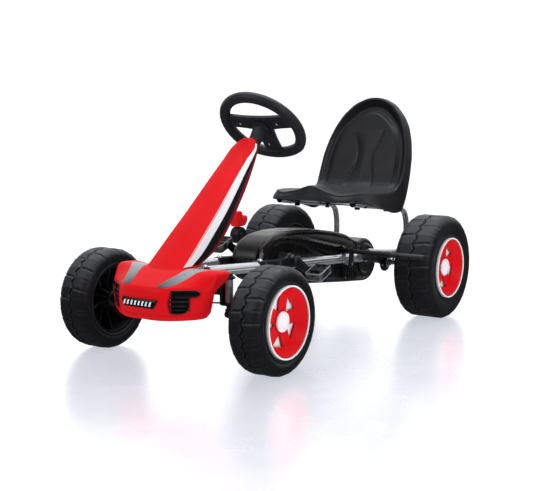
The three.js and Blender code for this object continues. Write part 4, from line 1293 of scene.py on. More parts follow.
def build_seat():
    """The bucket and its clamps, which slide, and the bent tubes that they slide on."""
    piece("seat_bucket", walled(seat_skin(), SEAT_WALL), SEAT_BLACK, "seat", ["seat"])
    for end in ("front", "rear"):
        node = f"seat_clamp_{end}"
        piece(f"{node}_bar", slide_clamp(node, end == "front"), BLACK_STEEL, "seat", [node])
    for name, _ in SIDES:
        piece(f"seat_knob_grip_{name}", seat_knob(f"seat_knob_{name}"), BLACK, "seat",
              [f"seat_knob_{name}"])
    for name, side in SIDES:
        path = seat_tube_path(side)
        piece(f"seat_tube_pipe_{name}", seat_tube(side, SEAT_TUBE_RADIUS), CHROME, "frame",
              [f"seat_tube_{name}"])
        end, inner = np.array(path[-1], float), np.array(path[-2], float)
        ahead = (end - inner) / np.linalg.norm(end - inner)
        plug = turned(end - ahead * 2, end + ahead * 2.5, [(0, 8.3), (2.5, 8.4), (4, 7.4), (4.5, 5.5)], 28)
        piece(f"seat_tube_plug_{name}", plug, BLACK, "frame")


def seat_tube(side, radius):
    return tube(bent_path(seat_tube_path(side), 30, 14), radius, 32)


def seat_tube_path(side):
    """From the rear bracket out and back, up round the bend and forward under the seat."""
    low, high = node_box("seat_tube_left")
    x, rear = high[0] - SEAT_TUBE_RADIUS, high[1] - SEAT_TUBE_RADIUS
    top = high[2] - 5
    front = low[1]
    return [
        (side * (x - 29), 700, 174), (side * (x - 15), 800, 161), (side * x, rear, 158),
        (side * x, rear, 245), (side * x, rear - 20, top - 36), (side * x, front, top),
    ]


# ---------------------------------------------------------------- steering
# The steering group's Z axis points up the column to the driver, and its Y axis up the wheel.
STEER_CENTRE = joint_place("steering_turn")
STEER_RADIUS = 102.0
STEER_TUBE = 13.5
STEER_FLAT = -68.0
LEAN = math.sqrt(0.5)
STEER_PLACE = Matrix.Translation(Vector(STEER_CENTRE)) @ Matrix(
    ((-1, 0, 0, 0), (0, -LEAN, LEAN, 0), (0, LEAN, LEAN, 0), (0, 0, 0, 1))
)


def steering_ring():
    """The wheel's rim, flattened at the bottom, with a mould seam and a grooved grip."""
    angles = np.linspace(0, 2 * np.pi, 180, endpoint=False)
    x, y = STEER_RADIUS * np.cos(angles), STEER_RADIUS * np.sin(angles)
    y = np.where(y < STEER_FLAT, STEER_FLAT + (y - STEER_FLAT) * 0.72, y)

    def section(around, step):
        seam = 0.05 * ridge(np.angle(np.exp(1j * (around - 3.6))), 0.16)
        groove = 0.09 * ridge(np.angle(np.exp(1j * (around - 4.6))), 0.24)
        held = smooth((abs(math.cos(angles[step])) - 0.5) / 0.2)
        grip = 0.035 * (0.5 + 0.5 * math.cos(step * math.pi / 2)) * held
        return STEER_TUBE * (1 - seam - groove - grip * (0.5 - 0.5 * np.cos(around)))

    return tube(np.column_stack([x, y, np.zeros(180)]), STEER_TUBE, 40, closed=True, section=section)


def steering_spoke(start, end, wide_start, wide_end):
    """A flared arm with raised edges and a centre rib, from the hub to the rim."""
    start, end = np.array(start, float), np.array(end, float)
    along = end - start
    across = np.array([-along[1], along[0]]) / np.linalg.norm(along)
    rows, columns = 24, 21
    top, bottom = np.zeros((rows, columns, 3)), np.zeros((rows, columns, 3))
    for r, t in enumerate(np.linspace(0, 1, rows)):
        waist = 1 - 0.1 * math.sin(math.pi * t)
        half = (wide_start + (wide_end - wide_start) * t) * waist / 2
        for c, w in enumerate(np.linspace(-1, 1, columns)):
            flat = start + along * t + across * half * w
            lip = 1.7 * smooth((abs(w) - 0.66) / 0.12) + 1.2 * float(ridge(abs(w) - 0.2, 0.14))
            fall = 2.2 * abs(w) ** 10
            top[r, c] = (*flat, 2.8 + lip - fall)
            bottom[r, c] = (*flat, -5.0 - lip + fall)
    return slab(top, bottom)


def build_steering():
    """Wheel, pad, boss and shaft, which turn, and the column tube, which does not."""
    arms = [((0, 13), (side * 96, 24), 48, 42) for side in (1, -1)]
    arms.append(((0, 0), (0, -90), 62, 44))
    hub = [(0, 21), (2, 24), (15, 24), (18, 21.5)]
    wheel = [steering_ring(), turned((0, 0, -12), (0, 0, 6), hub, 56)]
    wheel += [steering_spoke(*arm) for arm in arms]
    screw_places = ((56, 15), (-52, 15), (15, -33), (4, -57))
    screws = [dome_bolt((x, y, -6.2), (0, 0, -1), 3.1, 2.2) for x, y in screw_places]
    pad = [(0, 22), (2.4, 22), (5, 20.4), (6.4, 17), (6, 15), (6.8, 13.8), (8.4, 8), (9, 0)]
    boss = [(0, 13), (1.5, 14), (6, 14.4), (7, 13.6), (40, 17), (58, 19.2), (59, 20.6), (62, 20.6)]
    shaft = [(0, 5), (1, 6), (487, 6), (487.6, 5.4)]
    low_tube = [(0, 10), (1, 13), (12, 13), (13, 11), (346, 11), (347, 12.6), (359, 12.6), (360, 11.6)]
    column_tube = cut(turned((0, 0, -438), (0, 0, -78), low_tube, 40), rod((0, 0, -450), (0, 0, -60), 7, 32))
    bored = cut(turned((0, 0, -74.5), (0, 0, -12.5), boss, 48), rod((0, 0, -80), (0, 0, -11), 6.3, 32))
    parts = (
        ("steering_wheel_moulding", merged(*wheel), WHEEL_BLACK, "steering", "black_plastic",
         ["steering_wheel"]),
        ("steering_wheel_screws", merged(*screws), CHROME, "steering", "steel", []),
        ("steering_pad_cap", turned((0, 0, 6.4), (0, 0, 15.4), pad, 56), GLOSS_BLACK, "steering",
         "black_plastic", ["steering_hub_pad"]),
        ("steering_boss_cone", bored, WHEEL_BLACK, "steering", "black_plastic", ["steering_boss"]),
        ("steering_shaft_bar", turned((0, 0, -500), (0, 0, -12.4), shaft, 32), STEEL, "steering", "steel",
         ["steering_shaft"]),
        ("steering_column_pipe", column_tube, BLACK_STEEL, "frame", "black_steel", ["steering_column_tube"]),
    )
    for name, part, look, body, slot, nodes in parts:
        piece(name, moved(part, STEER_PLACE), look, body, nodes)


# ---------------------------------------------------------------- front axle
BEAM_Z = 175.0
STUB_Z = 120
RAIL_X = 60.0
RAIL_RADIUS = 12.5
RAIL_Z0 = 209.5
RAIL_FALL = 0.0758


def rail_z(y):
    return RAIL_Z0 - RAIL_FALL * y


def eye(at, outer, inner, thickness):
    """A flat ring with eased rims round an upright pin."""
    t = thickness / 2
    profile = [(inner, -t), (outer - 0.8, -t), (outer, -t + 0.8)]
    profile += [(outer, t - 0.8), (outer - 0.8, t), (inner, t)]
    upright = Matrix(((0, 0, 1, 0), (0, 1, 0, 0), (-1, 0, 0, 0), (0, 0, 0, 1)))
    return shifted(moved(lathe(profile, 40), upright), at)


def pitman_stud_y():
    return node_box("pitman_arm")[1][1] - 2.6


def tie_rod(name, side):
    """A rod with a flat eye at the pitman stud, a neck, and an eye on the knuckle's pin."""
    outer = joint_place(f"tie_rod_{name}_pivot")
    inner = np.array([0.0, pitman_stud_y(), 136.5 if side > 0 else 129.5])
    run = outer - inner
    start, end = inner + run * 0.075, inner + run * 0.945
    length = np.linalg.norm(end - start)
    stations = [(0, 2.5), (4, 2.9), (9, 2.9), (12, 2.5)]
    stations += [(length - 16, 2.5), (length - 14, 3.0), (length, 2.8)]
    return merged(turned(start, end, stations, 24), eye(inner, 12, 8.2, 5), eye(outer, 9, 4.7, 6))


def knuckle(side):
    """Kingpin in its sleeve, stub axle with its collar, and the steering arm with the tie rod's pin."""
    pin = abs(joint_place("knuckle_left_turn")[0])
    cap_x = node_box("front_hub_cap_left")[0][0]
    stub = [(0, 6.5), (1.5, 8), (20, 8), (22, 6), (cap_x - pin + 8, 6)]
    collar = [(0, 8.6), (1.2, 10), (6, 10), (7, 9), (15, 9), (16, 8)]
    arm = rounded([(-8, -8), (8, -8), (7, 50), (0, 58), (-7, 50)], [6, 6, 6, 8, 6], 5)
    arm = [(x + pin, y) for x, y in arm]
    parts = [
        turned((pin, 0, 112), (pin, 0, 214), [(0, 5), (1.5, 6.5), (100.5, 6.5), (102, 5.2)], 32),
        turned((pin - 9, 0, STUB_Z), (cap_x - 1, 0, STUB_Z), stub, 32),
        turned((196, 0, STUB_Z), (212, 0, STUB_Z), collar, 36),
        prism(arm, 127, 132.6, "z", 0.9),
        turned((pin, 50, 127), (pin, 50, 144), [(0, 4), (16, 4), (17, 3)], 24),
        hex_bolt((pin, 50, 140.6), (0, 0, 1), 9, 4),
        hex_bolt((pin, 50, 127), (0, 0, -1), 9, 4),
        hex_bolt((pin, 0, 206), (0, 0, 1), 15, 6),
    ]
    return mirrored(merged(*parts), side)


def beam_parts():
    """The square front beam with welded brackets, the rails' saddles and the column's foot."""
    pin = abs(joint_place("knuckle_left_turn")[0])
    outline = rounded([(-12, BEAM_Z - 12), (12, BEAM_Z - 12), (12, BEAM_Z + 12), (-12, BEAM_Z + 12)], 3.5, 4)
    parts = [prism(outline, -115, 115, "x", 0.6)]
    for side in (1, -1):
        upright = rounded([(-15, 141), (15, 141), (15, 205), (-15, 205)], 3, 3)
        parts.append(prism(upright, *sorted((side * (pin - 15.5), side * (pin - 10.5))), "x", 0.6))
        ear = rounded([(side * (pin - 14), -15), (side * (pin + 4), -15), (side * (pin + 15), -6),
                       (side * (pin + 15), 6), (side * (pin + 4), 15), (side * (pin - 14), 15)], 6, 4)
        round_hole = np.linspace(0, 2 * np.pi, 33)[:-1]
        hole = [(pin * side + 6.9 * math.cos(a), 6.9 * math.sin(a)) for a in round_hole]
        for z in (141.0, 201.0):
            parts.append(cut(prism(ear, z, z + 4, "z", 0.6), prism(hole, z - 5, z + 9, "z")))
        saddle = rounded([(-15, 184), (15, 184), (15, 206), (-15, 202)], 4, 3)
        saddle = prism(saddle, side * RAIL_X - 16, side * RAIL_X + 16, "x", 1)
        parts.append(cut(saddle, rail_bore(side)))
        gusset = [(side * (pin - 15), 187), (side * (pin - 40), 187), (side * (pin - 15), 203)]
        parts.append(prism(gusset, -2, 2, "y", 0.3))
    up = np.array([0, LEAN, LEAN])
    foot = [STEER_CENTRE - up * d for d in (476, 440)]
    parts.append(cut(turned(*foot, [(0, 13), (1, 14), (35, 14), (36, 12)], 36),
                     turned(STEER_CENTRE - up * 490, STEER_CENTRE - up * 430, [(0, 6.6), (60, 6.6)], 24)))
    return parts


def rail_bore(side):
    x, radius = side * RAIL_X, RAIL_RADIUS + 0.3
    return turned((x, -40, rail_z(-40)), (x, 60, rail_z(60)), [(0, radius), (101, radius)], 36)


def build_front():
    """The front beam with its bolts, both knuckles and tie rods, and the pitman arm."""
    piece("front_beam_frame", merged(*beam_parts()), BLACK_STEEL, "frame", ["front_beam"])
    bolts = []
    for side in (1, -1):
        x = side * RAIL_X
        bolts.append(dome_bolt((x, 0, rail_z(0) + RAIL_RADIUS - 0.4), (0, 0, 1), 6.5, 4.5))
        bolts.append(hex_bolt((side * 92, -12, BEAM_Z), (0, -1, 0), 10, 4))
        bolts.append(hex_bolt((side * 92, 12, BEAM_Z), (0, 1, 0), 10, 4))
        bolts.append(hex_bolt((side * (RAIL_X + 16), 4, 192), (side, 0, 0), 9, 4))
    piece("front_beam_bolts", merged(*bolts), CHROME, "frame")
    for name, side in SIDES:
        piece(f"knuckle_forging_{name}", knuckle(side), BLACK_STEEL, f"knuckle_{name}",
              [f"knuckle_{name}"])
        pin = joint_place(f"knuckle_{name}_turn")
        sleeve = [(0, 8.5), (1, 9.6), (53.5, 9.6), (54.5, 8.5)]
        sleeve = turned((pin[0], 0, 146), (pin[0], 0, 200.5), sleeve, 36)
        piece(f"kingpin_sleeve_{name}", sleeve, ZINC, f"knuckle_{name}")
        piece(f"tie_rod_bar_{name}", tie_rod(name, side), ZINC, f"tie_rod_{name}",
              [f"tie_rod_{name}"])
    plate = rounded([(-11, 11), (11, 11), (7, -26), (5, -36), (-5, -36), (-7, -26)], [10, 10, 6, 4, 4, 6], 5)
    plate = prism(plate, -498.5, -493.5, "z", 0.7)
    sleeve = turned((0, 0, -499), (0, 0, -486), [(0, 9), (1, 11), (12, 11), (13, 9.5)], 36)
    arm = moved(merged(plate, sleeve), STEER_PLACE)
    stud_y = pitman_stud_y()
    stud = turned((0, stud_y, 124), (0, stud_y, 146), [(0, 3.5), (22, 3.5)], 24)
    piece("pitman_forging", merged(arm, stud), STEEL, "steering", ["pitman_arm"])


# ---------------------------------------------------------------- side rails
def rail_section(side, y, wide, tall, drop, groove):
    """An oval ring across the rail, with a pressed groove along its outer side."""
    angles = np.linspace(0, 2 * np.pi, 48, endpoint=False)
    reach = 1 - groove * ridge(np.angle(np.exp(1j * angles)), 0.2)
    across = wide * np.cos(angles) * reach
    up = tall * np.sin(angles)
    return np.column_stack([side * RAIL_X + side * across, y + up * RAIL_FALL, rail_z(y) - drop + up])


def rail_skin(side, stations):
    ys = [station[0] for station in stations]
    shape = [curve(ys, [station[k] for station in stations]) for k in (1, 2, 3, 4)]
    steps = np.unique(np.concatenate([ys, np.linspace(ys[0], ys[-1], 60)]))
    return loft([rail_section(side, y, *(float(f(y)) for f in shape)) for y in steps])


# Stations: y, half-width, half-height, drop of the centre, depth of the groove.
FRONT_RAIL = [
    (6, 11.5, 11.5, 0, 0), (7, 12.5, 12.5, 0, 0), (30, 12.5, 12.5, 0, 0.12), (198, 12.5, 12.5, 0, 0.12),
    (212, 7.4, 12.5, 0, 0), (300, 7.4, 12.5, 0, 0), (322, 7, 12.5, 0, 0),
]
REAR_RAIL = [
    (352, 7.5, 4.5, 7.5, 0), (356, 8.5, 5.4, 6.8, 0), (398, 12.5, 12.5, 0, 0.1), (410, 12.5, 12.5, 0, 0.12),
    (640, 12.5, 12.5, 0, 0.12), (668, 9, 12.8, 0, 0.1), (690, 3.6, 13.6, 0, 0), (748, 3.2, 13.6, 0, 0),
    (751, 2.6, 11.5, 0, 0),
]


CRANK_BORE = 8.7
AXLE_BORE = 7.6


def crank_bracket(side):
    """The black channel that joins both halves of a rail over the crank's bearing."""
    top = [(196, rail_z(196) + 6), (203, rail_z(203) + 13.6), (300, rail_z(300) + 13.6), (320, CRANK_Z + 9)]
    around = np.radians(np.linspace(140, -60, 18))
    arch = [(CRANK_Y + 19 * math.cos(a), CRANK_Z + 19 * math.sin(a)) for a in around]
    base = [(352, rail_z(352) - 14), (318, rail_z(318) - 14.2), (290, rail_z(290) - 3),
            (203, rail_z(203) - 3), (196, rail_z(196))]
    outline = rounded(top + arch + base, 3, 3)
    return prism(outline[::-1], *sorted((side * 47.0, side * 68.0)), "x", 1.4)


def crank_hub(side):
    stations = [(0, 13), (1, 16), (21, 16), (22, 17), (24, 17), (24.8, 15.4), (31, 12.6), (31.5, 11)]
    return turned((side * 45.6, CRANK_Y, CRANK_Z), (side * 77.1, CRANK_Y, CRANK_Z), stations, 48)


def build_rails():
    """Each rail in two halves, with the bracket, hub and fasteners that carry the crank."""
    for name, side in SIDES:
        x = side * RAIL_X
        bore = bar_x(side * 40, side * 90, CRANK_Y, CRANK_Z, CRANK_BORE)
        rails = merged(rail_skin(side, FRONT_RAIL), cut(rail_skin(side, REAR_RAIL), bore))
        pivot = joint_place("brake_lever_pull")
        pin = bar_x(x, side * 86, pivot[1], pivot[2], 4, 24)
        piece(f"side_rail_pipe_{name}", rails, CHROME, "frame", [f"side_rail_{name}"])
        bolts = [hex_bolt((side * 68, y, rail_z(y) + 5), (side, 0, 0), 9, 4) for y in (226, 290)]
        bracket = merged(cut(crank_bracket(side), bore), *bolts)
        hub = cut(crank_hub(side), bore)
        piece(f"crank_bracket_{name}", bracket, BLACK_STEEL, "frame")
        piece(f"crank_hub_{name}", hub, BLACK_STEEL, "frame")
        fasteners = [
            dome_bolt((x, 217, rail_z(217) + 14), (0, 0, 1), 7, 5),
            pin,
            dome_bolt((side * 66, 724, rail_z(724) + 10), (0, 0, 1), 6, 5),
            dome_bolt((side * 66, 726, rail_z(726) - 10), (0, 0, -1), 6, 4.5),
            dome_bolt((side * 74, 748, rail_z(748) + 12), (0, 0, 1), 6, 4.5),
        ]
        piece(f"rail_fasteners_{name}", merged(*fasteners), CHROME, "frame")


# ---------------------------------------------------------------- rear axle and brackets
def rear_bracket(side):
    """The arm off the rail, a bearing plate hanging from it and the bearing's housing."""
    arm = [(712, 147), (752, 147), (752, 160), (716, 163)]
    parts = [prism(rounded(arm, 3, 3), *sorted((side * 63.6, side * 108)), "x", 1)]
    shelf = rounded([(62, 716), (136, 722), (141, 730), (141, 758), (132, 766), (66, 760)], 4, 3)
    shelf = [(x * side, y) for x, y in shelf]
    parts.append(prism(shelf, 157, 162, "z", 0.8))
    plate = [(716, 150), (724, 163), (786, 163)]
    around = np.radians(np.linspace(30, -170, 18))
    plate += [(AXLE_Y + 27 * math.cos(a), AXLE_Z + 27 * math.sin(a)) for a in around]
    parts.append(prism(rounded(plate, 3, 3), *sorted((side * 100, side * 106)), "x", 0.9))
    housing = [(0, 11), (0.8, 15), (8, 15.4), (9, 19), (12.5, 19), (13.5, 15.4), (21, 15), (22, 12)]
    parts.append(turned((side * 92, AXLE_Y, AXLE_Z), (side * 114, AXLE_Y, AXLE_Z), housing, 40))
    bore = bar_x(side * 80, side * 130, AXLE_Y, AXLE_Z, AXLE_BORE)
    return merged(*parts[:2], *[cut(part, bore) for part in parts[2:]])


def build_rear():
    """Both bearing brackets with their trim, and the axle with its collars."""
    for name, side in SIDES:
        piece(f"rear_bracket_plate_{name}", rear_bracket(side), BLACK_STEEL, "frame",
              [f"rear_bracket_{name}"])
        bolts = [
            hex_bolt((side * 112, 738, 162), (0, 0, 1), 10, 7),
            hex_bolt((side * 130, 750, 162), (0, 0, 1), 10, 7),
        ]
        piece(f"rear_bracket_bolts_{name}", merged(*bolts), BLACK_STEEL, "frame")
        ring = [(0, 14.6), (0.6, 14.9), (1.4, 14.0), (1.5, 9.2)]
        bore = bar_x(side * 110, side * 120, AXLE_Y, AXLE_Z, 7.8)
        rings = [
            cut(turned((side * 113.9, AXLE_Y, AXLE_Z), (side * 115.4, AXLE_Y, AXLE_Z), ring, 40), bore),
            dome_bolt((side * 106, AXLE_Y + 6, AXLE_Z + 21), (side, 0, 0), 4, 3.5),
            dome_bolt((side * 106, AXLE_Y - 20, AXLE_Z - 6), (side, 0, 0), 4, 3.5),
            dome_bolt((side * 141, 744, 152), (side, 0, 0), 5, 4),
        ]
        piece(f"rear_bearing_trim_{name}", merged(*rings), CHROME, "frame")
    half = node_box("rear_axle")[1][0]
    stations = [(0, 5.5), (1.5, 7), (half - 122, 7), (half - 121, 9.5), (half - 116.5, 9.5)]
    stations += [(half - 115.5, 7), (half - 60, 7), (half - 8, 7), (half - 7, 9)]
    stations += [(half + 7, 9), (half + 8, 7)]
    stations += [(half + 115.5, 7), (half + 116.5, 9.5), (half + 121, 9.5), (half + 122, 7)]
    stations += [(2 * half - 1.5, 7), (2 * half, 5.5)]
    bar = turned((-half, AXLE_Y, AXLE_Z), (half, AXLE_Y, AXLE_Z), stations, 40)
    piece("rear_axle_bar", bar, STEEL, "rear_axle", ["rear_axle"])


# ---------------------------------------------------------------- cranks, pedals and chain
RING_TEETH = 28
SPROCKET_TEETH = 16
CHAIN_PITCH = 12.7
# One tooth and the gap after it: share of the tooth's angle, height over the pitch circle.
TOOTH = ((-0.17, 1.6), (-0.08, 3.0), (0.08, 3.0), (0.17, 1.6), (0.36, -3.0), (0.5, -3.9), (0.64, -3.0))
PEDAL_TILT = math.radians(20)


def tapered_arm(start, end, start_radius, end_radius, steps=18):
    """The outline of a plate that runs round two circles of (y, z)."""
    start, end = np.asarray(start, float), np.asarray(end, float)
    heading = math.atan2(end[1] - start[1], end[0] - start[0])
    spread = math.acos((start_radius - end_radius) / np.linalg.norm(end - start))
    arcs = (
        (start, start_radius, heading + spread, heading + 2 * math.pi - spread),
        (end, end_radius, heading - spread, heading + spread),
    )
    points = []
    for centre, radius, low, high in arcs:
        for a in np.linspace(low, high, steps):
            points.append((centre[0] + radius * math.cos(a), centre[1] + radius * math.sin(a)))
    return points


def crank_arm(name, side):
    end = joint_place(f"pedal_{name}_spin")
    centre = np.array([CRANK_Y, CRANK_Z])
    plate = prism(tapered_arm(centre, end[1:], 13.5, 9), *sorted((side * 78.6, side * 84.6)), "x", 1.1)
    axle = turned((side * 77.6, CRANK_Y, CRANK_Z), (side * 90.5, CRANK_Y, CRANK_Z),
                  [(0, 12.6), (7, 14), (10, 14), (11.4, 12.6), (12.9, 8.6)], 40)
    boss = turned((side * 78.6, *end[1:]), (side * 86, *end[1:]), [(0, 8), (1, 9), (6.6, 9), (7.4, 7.6)], 32)
    spindle = turned((side * 79, *end[1:]), (side * 130, *end[1:]), [(0, 4), (50, 4), (51, 3.2)], 24)
    return merged(plate, axle, boss, spindle)


def pedal():
    """A moulded pedal along X from its inner end: a frame with two windows, treads and a rib."""
    low, high = node_box("pedal_left")
    size = high - low
    long, deep, tall = size[0], size[1], size[2]
    body = prism(rounded([(0, -deep / 2), (long, -deep / 2), (long, deep / 2), (0, deep / 2)], 7, 5),
                 -tall / 2 + 2.4, tall / 2 - 2.4, "z", 1.6)
    slots = []
    for side in (-1, 1):
        y = side * 16
        slots.append(prism(rounded([(9, y - 6), (long - 9, y - 6), (long - 9, y + 6), (9, y + 6)], 2.5, 3),
                           -20, 20, "z"))
    body = cut(body, *slots, turned((-5, 0, 0), (long - 3, 0, 0), [(0, 4.4), (long + 2, 4.4)], 24))
    treads = []
    for y in (-deep / 2 + 3.2, -7.5, 7.5, deep / 2 - 3.2):
        for lift in (-1, 1):
            for x in np.linspace(6, long - 6, 6):
                treads.append(block((4.6, 3.6, 3.4), (x, y, lift * (tall / 2 - 1.7)), 0.8, 1.0))
    return merged(body, *treads), (long, deep, tall)


def pedal_border(long, deep, tall):
    """A pale line round a pedal's upper and lower faces: part scuffed edge, part painted edge highlight."""
    corners = rounded([(1, -deep / 2 + 1), (long - 1, -deep / 2 + 1), (long - 1, deep / 2 - 1),
                       (1, deep / 2 - 1)], 6, 5)
    loops = []
    for z in (tall / 2 - 2.2, -tall / 2 + 2.2):
        path = np.column_stack([resampled(corners, 96), np.full(96, z)])
        loops.append(tube(path, 1.2, 10, closed=True))
    return merged(*loops)


def toothed_wheel(teeth, bore, holes):
    """A chain wheel in the YZ plane with shaped teeth and round openings."""
    pitch_radius = CHAIN_PITCH / (2 * math.sin(math.pi / teeth))
    outline = []
    for i in range(teeth):
        for share, lift in TOOTH:
            a = 2 * math.pi * (i + share) / teeth
            outline.append(((pitch_radius + lift) * math.cos(a), (pitch_radius + lift) * math.sin(a)))
    wheel = prism(outline, -1.5, 1.5, "x", 0.3)
    cutters = [bar_x(-6, 6, 0, 0, bore)]
    for i in range(holes):
        a = 2 * math.pi * i / holes
        y, z = 0.58 * pitch_radius * math.cos(a), 0.58 * pitch_radius * math.sin(a)
        cutters.append(bar_x(-6, 6, y, z, 0.17 * pitch_radius, 24))
    hub = lathe([(bore, -7), (bore + 4, -7), (bore + 5, -6), (bore + 5, 6), (bore + 4, 7), (bore, 7)], 32)
    return merged(cut(wheel, *cutters), hub)


def chain_line():
    """Pin places along the chain's loop round both wheels."""
    radii = [CHAIN_PITCH / (2 * math.sin(math.pi / t)) for t in (RING_TEETH, SPROCKET_TEETH)]
    centres = [np.array([CRANK_Y, CRANK_Z]), np.array([AXLE_Y, AXLE_Z])]
    loop = tapered_arm(centres[0], centres[1], radii[0], radii[1], 40)
    length = np.linalg.norm(np.diff(np.vstack([loop, loop[:1]]), axis=0), axis=1).sum()
    return resampled(loop, 2 * round(length / CHAIN_PITCH / 2))


def chain_links():
    """Alternating inner and outer plates with their pins. The chain rides the frame and stands still."""
    pins = chain_line()
    parts = []
    for i, pin in enumerate(pins):
        ahead = pins[(i + 1) % len(pins)]
        outline = tapered_arm(pin, ahead + 1e-6, 4.2, 4.19, 5)
        for side in (1, -1):
            inner = 2.5 if i % 2 else 3.3
            parts.append(prism(outline, *sorted((side * inner, side * (inner + 0.7))), "x"))
        parts.append(bar_x(-4, 4, *pin, 1.7, 8))
    return merged(*parts)


def build_drive():
    """Crank arms, pedals, crank axle, both chain wheels and the chain."""
    for name, side in SIDES:
        piece(f"crank_arm_forging_{name}", crank_arm(name, side), BLACK_STEEL, "crank",
              [f"crank_arm_{name}"])
        low, high = node_box(f"pedal_{name}")
        inner = low[0] if side > 0 else high[0]
        centre = joint_place(f"pedal_{name}_spin")
        block_part, size = pedal()
        tilt = Matrix.Translation((inner, centre[1], centre[2])) @ Matrix.Rotation(PEDAL_TILT, 4, "X")
        placed = moved(mirrored(block_part, side), tilt)
        border = moved(mirrored(pedal_border(*size), side), tilt)
        piece(f"pedal_block_{name}", placed, PEDAL_BLACK, f"pedal_{name}", [f"pedal_{name}"])
        piece(f"pedal_border_{name}", border, PEDAL_GREY, f"pedal_{name}")
    low, high = node_box("crank_axle")
    axle = [(0, 5.5), (1, 7.6), (6, 8), (2 * high[0] - 6, 8), (2 * high[0] - 1, 7.6), (2 * high[0], 5.5)]
    piece("crank_axle_bar", turned((low[0], CRANK_Y, CRANK_Z), (high[0], CRANK_Y, CRANK_Z), axle, 36), STEEL,
          "crank", ["crank_axle"])
    ring = shifted(toothed_wheel(RING_TEETH, 8.4, 5), (0, CRANK_Y, CRANK_Z))
    sprocket = shifted(toothed_wheel(SPROCKET_TEETH, 7.4, 0), (0, AXLE_Y, AXLE_Z))
    piece("chainring_plate", ring, STEEL, "crank", ["chainring"])
    piece("sprocket_plate", sprocket, STEEL, "rear_axle", ["rear_sprocket"])
    piece("chain_links", chain_links(), STEEL, "frame", ["chain"])


# ---------------------------------------------------------------- hand brake
GRIP_OUTLINE = [
    (466, 246.5), (500, 246.5), (514, 262), (508, 276), (492, 270), (486, 288), (464, 290), (462, 268),
]


def build_brake():
    """The brake bar on its swing plates, with the lever, its hub and the grip."""
    pivot = joint_place("brake_lever_pull")
    hub_low, hub_high = node_box("brake_lever_hub")
    hub = (hub_low + hub_high) / 2
    bar_y, bar_z = pivot[1] + 4, pivot[2] + 33
    half = node_box("brake_bar")[1][0]
    ends = (-half, bar_y, bar_z), (half, bar_y, bar_z)
    sleeve = 200.0
    stations = [(0, 5), (1, 7), (3, 7.6), (half - sleeve, 7.6), (half - sleeve + 1, 6), (half - 88, 6)]
    stations += [(half + 88, 6), (half + sleeve - 1, 6), (half + sleeve, 7.6), (2 * half - 3, 7.6)]
    stations += [(2 * half - 1, 7), (2 * half, 5)]
    parts = [turned(*ends, stations, 32)]
    for side in (1, -1):
        outline = tapered_arm((pivot[1], pivot[2]), (bar_y, bar_z), 11, 9.5)
        bore = bar_x(side * 70, side * 92, pivot[1], pivot[2], 4.4, 24)
        parts.append(cut(prism(outline, *sorted((side * 78, side * 83)), "x", 0.8), bore))
    lever_path = [(hub[0], bar_y, bar_z), (hub[0], 560, 200), (hub[0], 500, 216.5)]
    parts.append(tube(bent_path(lever_path, 20, 8), 5.6, 24))
    piece("brake_bar_pipe", merged(*parts), BLACK_STEEL, "brake", ["brake_bar"])
    face = [(0, 3), (0.4, 7.5), (2, 9), (2, 16.5), (0, 19), (1.5, 22.4), (4, 23)]
    face += [(22, 23), (24.5, 22.4), (26, 19), (24, 16.5), (24, 9), (25.6, 7.5), (26, 3)]
    wheel = turned((hub_low[0], hub[1], hub[2]), (hub_high[0], hub[1], hub[2]), face, 44)
    piece("brake_lever_wheel", wheel, BLACK, "brake", ["brake_lever_hub"])
    grip_low, grip_high = node_box("brake_grip")
    outline = rounded(GRIP_OUTLINE, [3, 4, 9, 5, 6, 5, 8, 8], 5)
    grip = prism(outline, grip_low[0], grip_high[0], "x", 3.5)
    boss = [(0, 5), (0.8, 7), (26.4, 7), (27.2, 5)]
    boss = turned((grip_low[0] - 0.6, 484, 266), (grip_high[0] + 0.6, 484, 266), boss, 32)
    piece("brake_grip_moulding", merged(grip, boss), RED, "brake", ["brake_grip"])


# ---------------------------------------------------------------- stage
PHOTO_VIEW = {"azimuth": 34.23, "elevation": 7.98, "lens": 75.1}
EYE = (1.5702, -2.3430, 0.6166)


def set_camera():
    """A camera from the kart's front left, a little above it."""
    data = bpy.data.cameras.new("camera")
    data.lens = PHOTO_VIEW["lens"]
    data.sensor_width = 36
    camera = bpy.data.objects.new("camera", data)
    a, e = math.radians(PHOTO_VIEW["azimuth"]), math.radians(PHOTO_VIEW["elevation"])
    back = Vector((math.sin(a) * math.cos(e), -math.cos(a) * math.cos(e), math.sin(e)))
    camera.location = EYE
    camera.rotation_mode = "QUATERNION"
    camera.rotation_quaternion = (-back).to_track_quat("-Z", "Y")
    bpy.context.scene.collection.objects.link(camera)
    bpy.context.scene.camera = camera


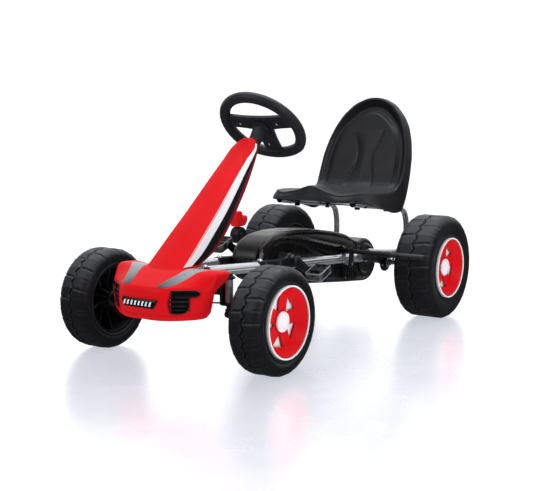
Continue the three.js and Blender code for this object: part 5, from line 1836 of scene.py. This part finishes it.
def set_floor():
    """A white sweep with no horizon: light of its own and a soft mirror, both dim to other mirrors."""
    n = Nodes("floor")
    mottle = n.spread(n.noise(3.0, 2.0), 0.0, 1.0)
    n.colour(n.mix(mottle, (0.10, 0.10, 0.105, 1), (0.12, 0.12, 0.125, 1)))
    n.link(n.mix(mottle, (0.54, 0.55, 0.61, 1), (0.56, 0.57, 0.63, 1)), n.shader.inputs["Emission Color"])
    n.set(Emission_Strength=1.0, Roughness=0.9, Specular_IOR_Level=0.0)
    mirror = n.add("ShaderNodeBsdfAnisotropic")
    mirror.inputs["Color"].default_value = (0.5, 0.5, 0.5, 1)
    n.link(n.spread(n.noise(20.0, 3.0), 0.24, 0.28), mirror.inputs["Roughness"])
    both = n.add("ShaderNodeAddShader")
    n.link(n.shader.outputs[0], both.inputs[0])
    n.link(mirror.outputs[0], both.inputs[1])
    dim = n.add("ShaderNodeEmission")
    dim.inputs["Color"].default_value = (0.13, 0.13, 0.14, 1)
    seen = n.add("ShaderNodeMixShader")
    n.link(n.add("ShaderNodeLightPath").outputs["Is Glossy Ray"], seen.inputs[0])
    n.link(both.outputs[0], seen.inputs[1])
    n.link(dim.outputs[0], seen.inputs[2])
    n.link(seen.outputs[0], n.tree.nodes["Material Output"].inputs["Surface"])
    bpy.ops.mesh.primitive_plane_add(size=60)
    floor = bpy.context.object
    floor.name = "floor"
    floor.data.materials.append(n.material)


def set_world():
    """A white room, darker on the camera's side so that black parts stay black."""
    world = bpy.data.worlds.new("studio")
    bpy.context.scene.world = world
    world.use_nodes = True
    tree = world.node_tree
    background = tree.nodes["Background"]
    place = tree.nodes.new("ShaderNodeTexCoord")
    facing = tree.nodes.new("ShaderNodeVectorMath")
    facing.operation = "DOT_PRODUCT"
    facing.inputs[1].default_value = Vector((0.56, -0.80, -0.15)).normalized()
    tree.links.new(place.outputs["Generated"], facing.inputs[0])
    ramp = tree.nodes.new("ShaderNodeMapRange")
    ramp.interpolation_type = "SMOOTHSTEP"
    ramp.inputs["From Min"].default_value = -0.95
    ramp.inputs["From Max"].default_value = 0.15
    ramp.inputs["To Min"].default_value = 1.05
    ramp.inputs["To Max"].default_value = 0.05
    tree.links.new(facing.outputs["Value"], ramp.inputs["Value"])
    path = tree.nodes.new("ShaderNodeLightPath")
    strongest = tree.nodes.new("ShaderNodeMath")
    strongest.operation = "MAXIMUM"
    tree.links.new(ramp.outputs["Result"], strongest.inputs[0])
    tree.links.new(path.outputs["Is Camera Ray"], strongest.inputs[1])
    tree.links.new(strongest.outputs[0], background.inputs["Strength"])
    background.inputs["Color"].default_value = (1, 1, 1, 1)


# Each soft light: its place, its side in metres and its power in watts.
LIGHTS = {
    "top_light": ((0.1, 0.3, 2.3), 2.2, 41),
    "key_light": ((-1.2, -3.0, 2.2), 2.4, 47),
    "near_light": ((2.9, -1.0, 1.6), 1.8, 50),
}


def set_light():
    set_world()
    for name, (place, size, power) in LIGHTS.items():
        data = bpy.data.lights.new(name, "AREA")
        data.size = size
        data.energy = power
        light = bpy.data.objects.new(name, data)
        light.location = place
        aim = Vector((0, 0, 0.25)) - Vector(place)
        light.rotation_euler = aim.to_track_quat("-Z", "Y").to_euler()
        bpy.context.scene.collection.objects.link(light)
    bpy.context.scene.view_settings.view_transform = "Standard"


# ---------------------------------------------------------------- the whole kart
build_wheels()
build_bumper()
build_nose()
build_steering()
build_front()
build_rails()
build_case()
build_rear()
build_drive()
build_brake()
build_seat()
set_camera()
set_floor()
set_light()
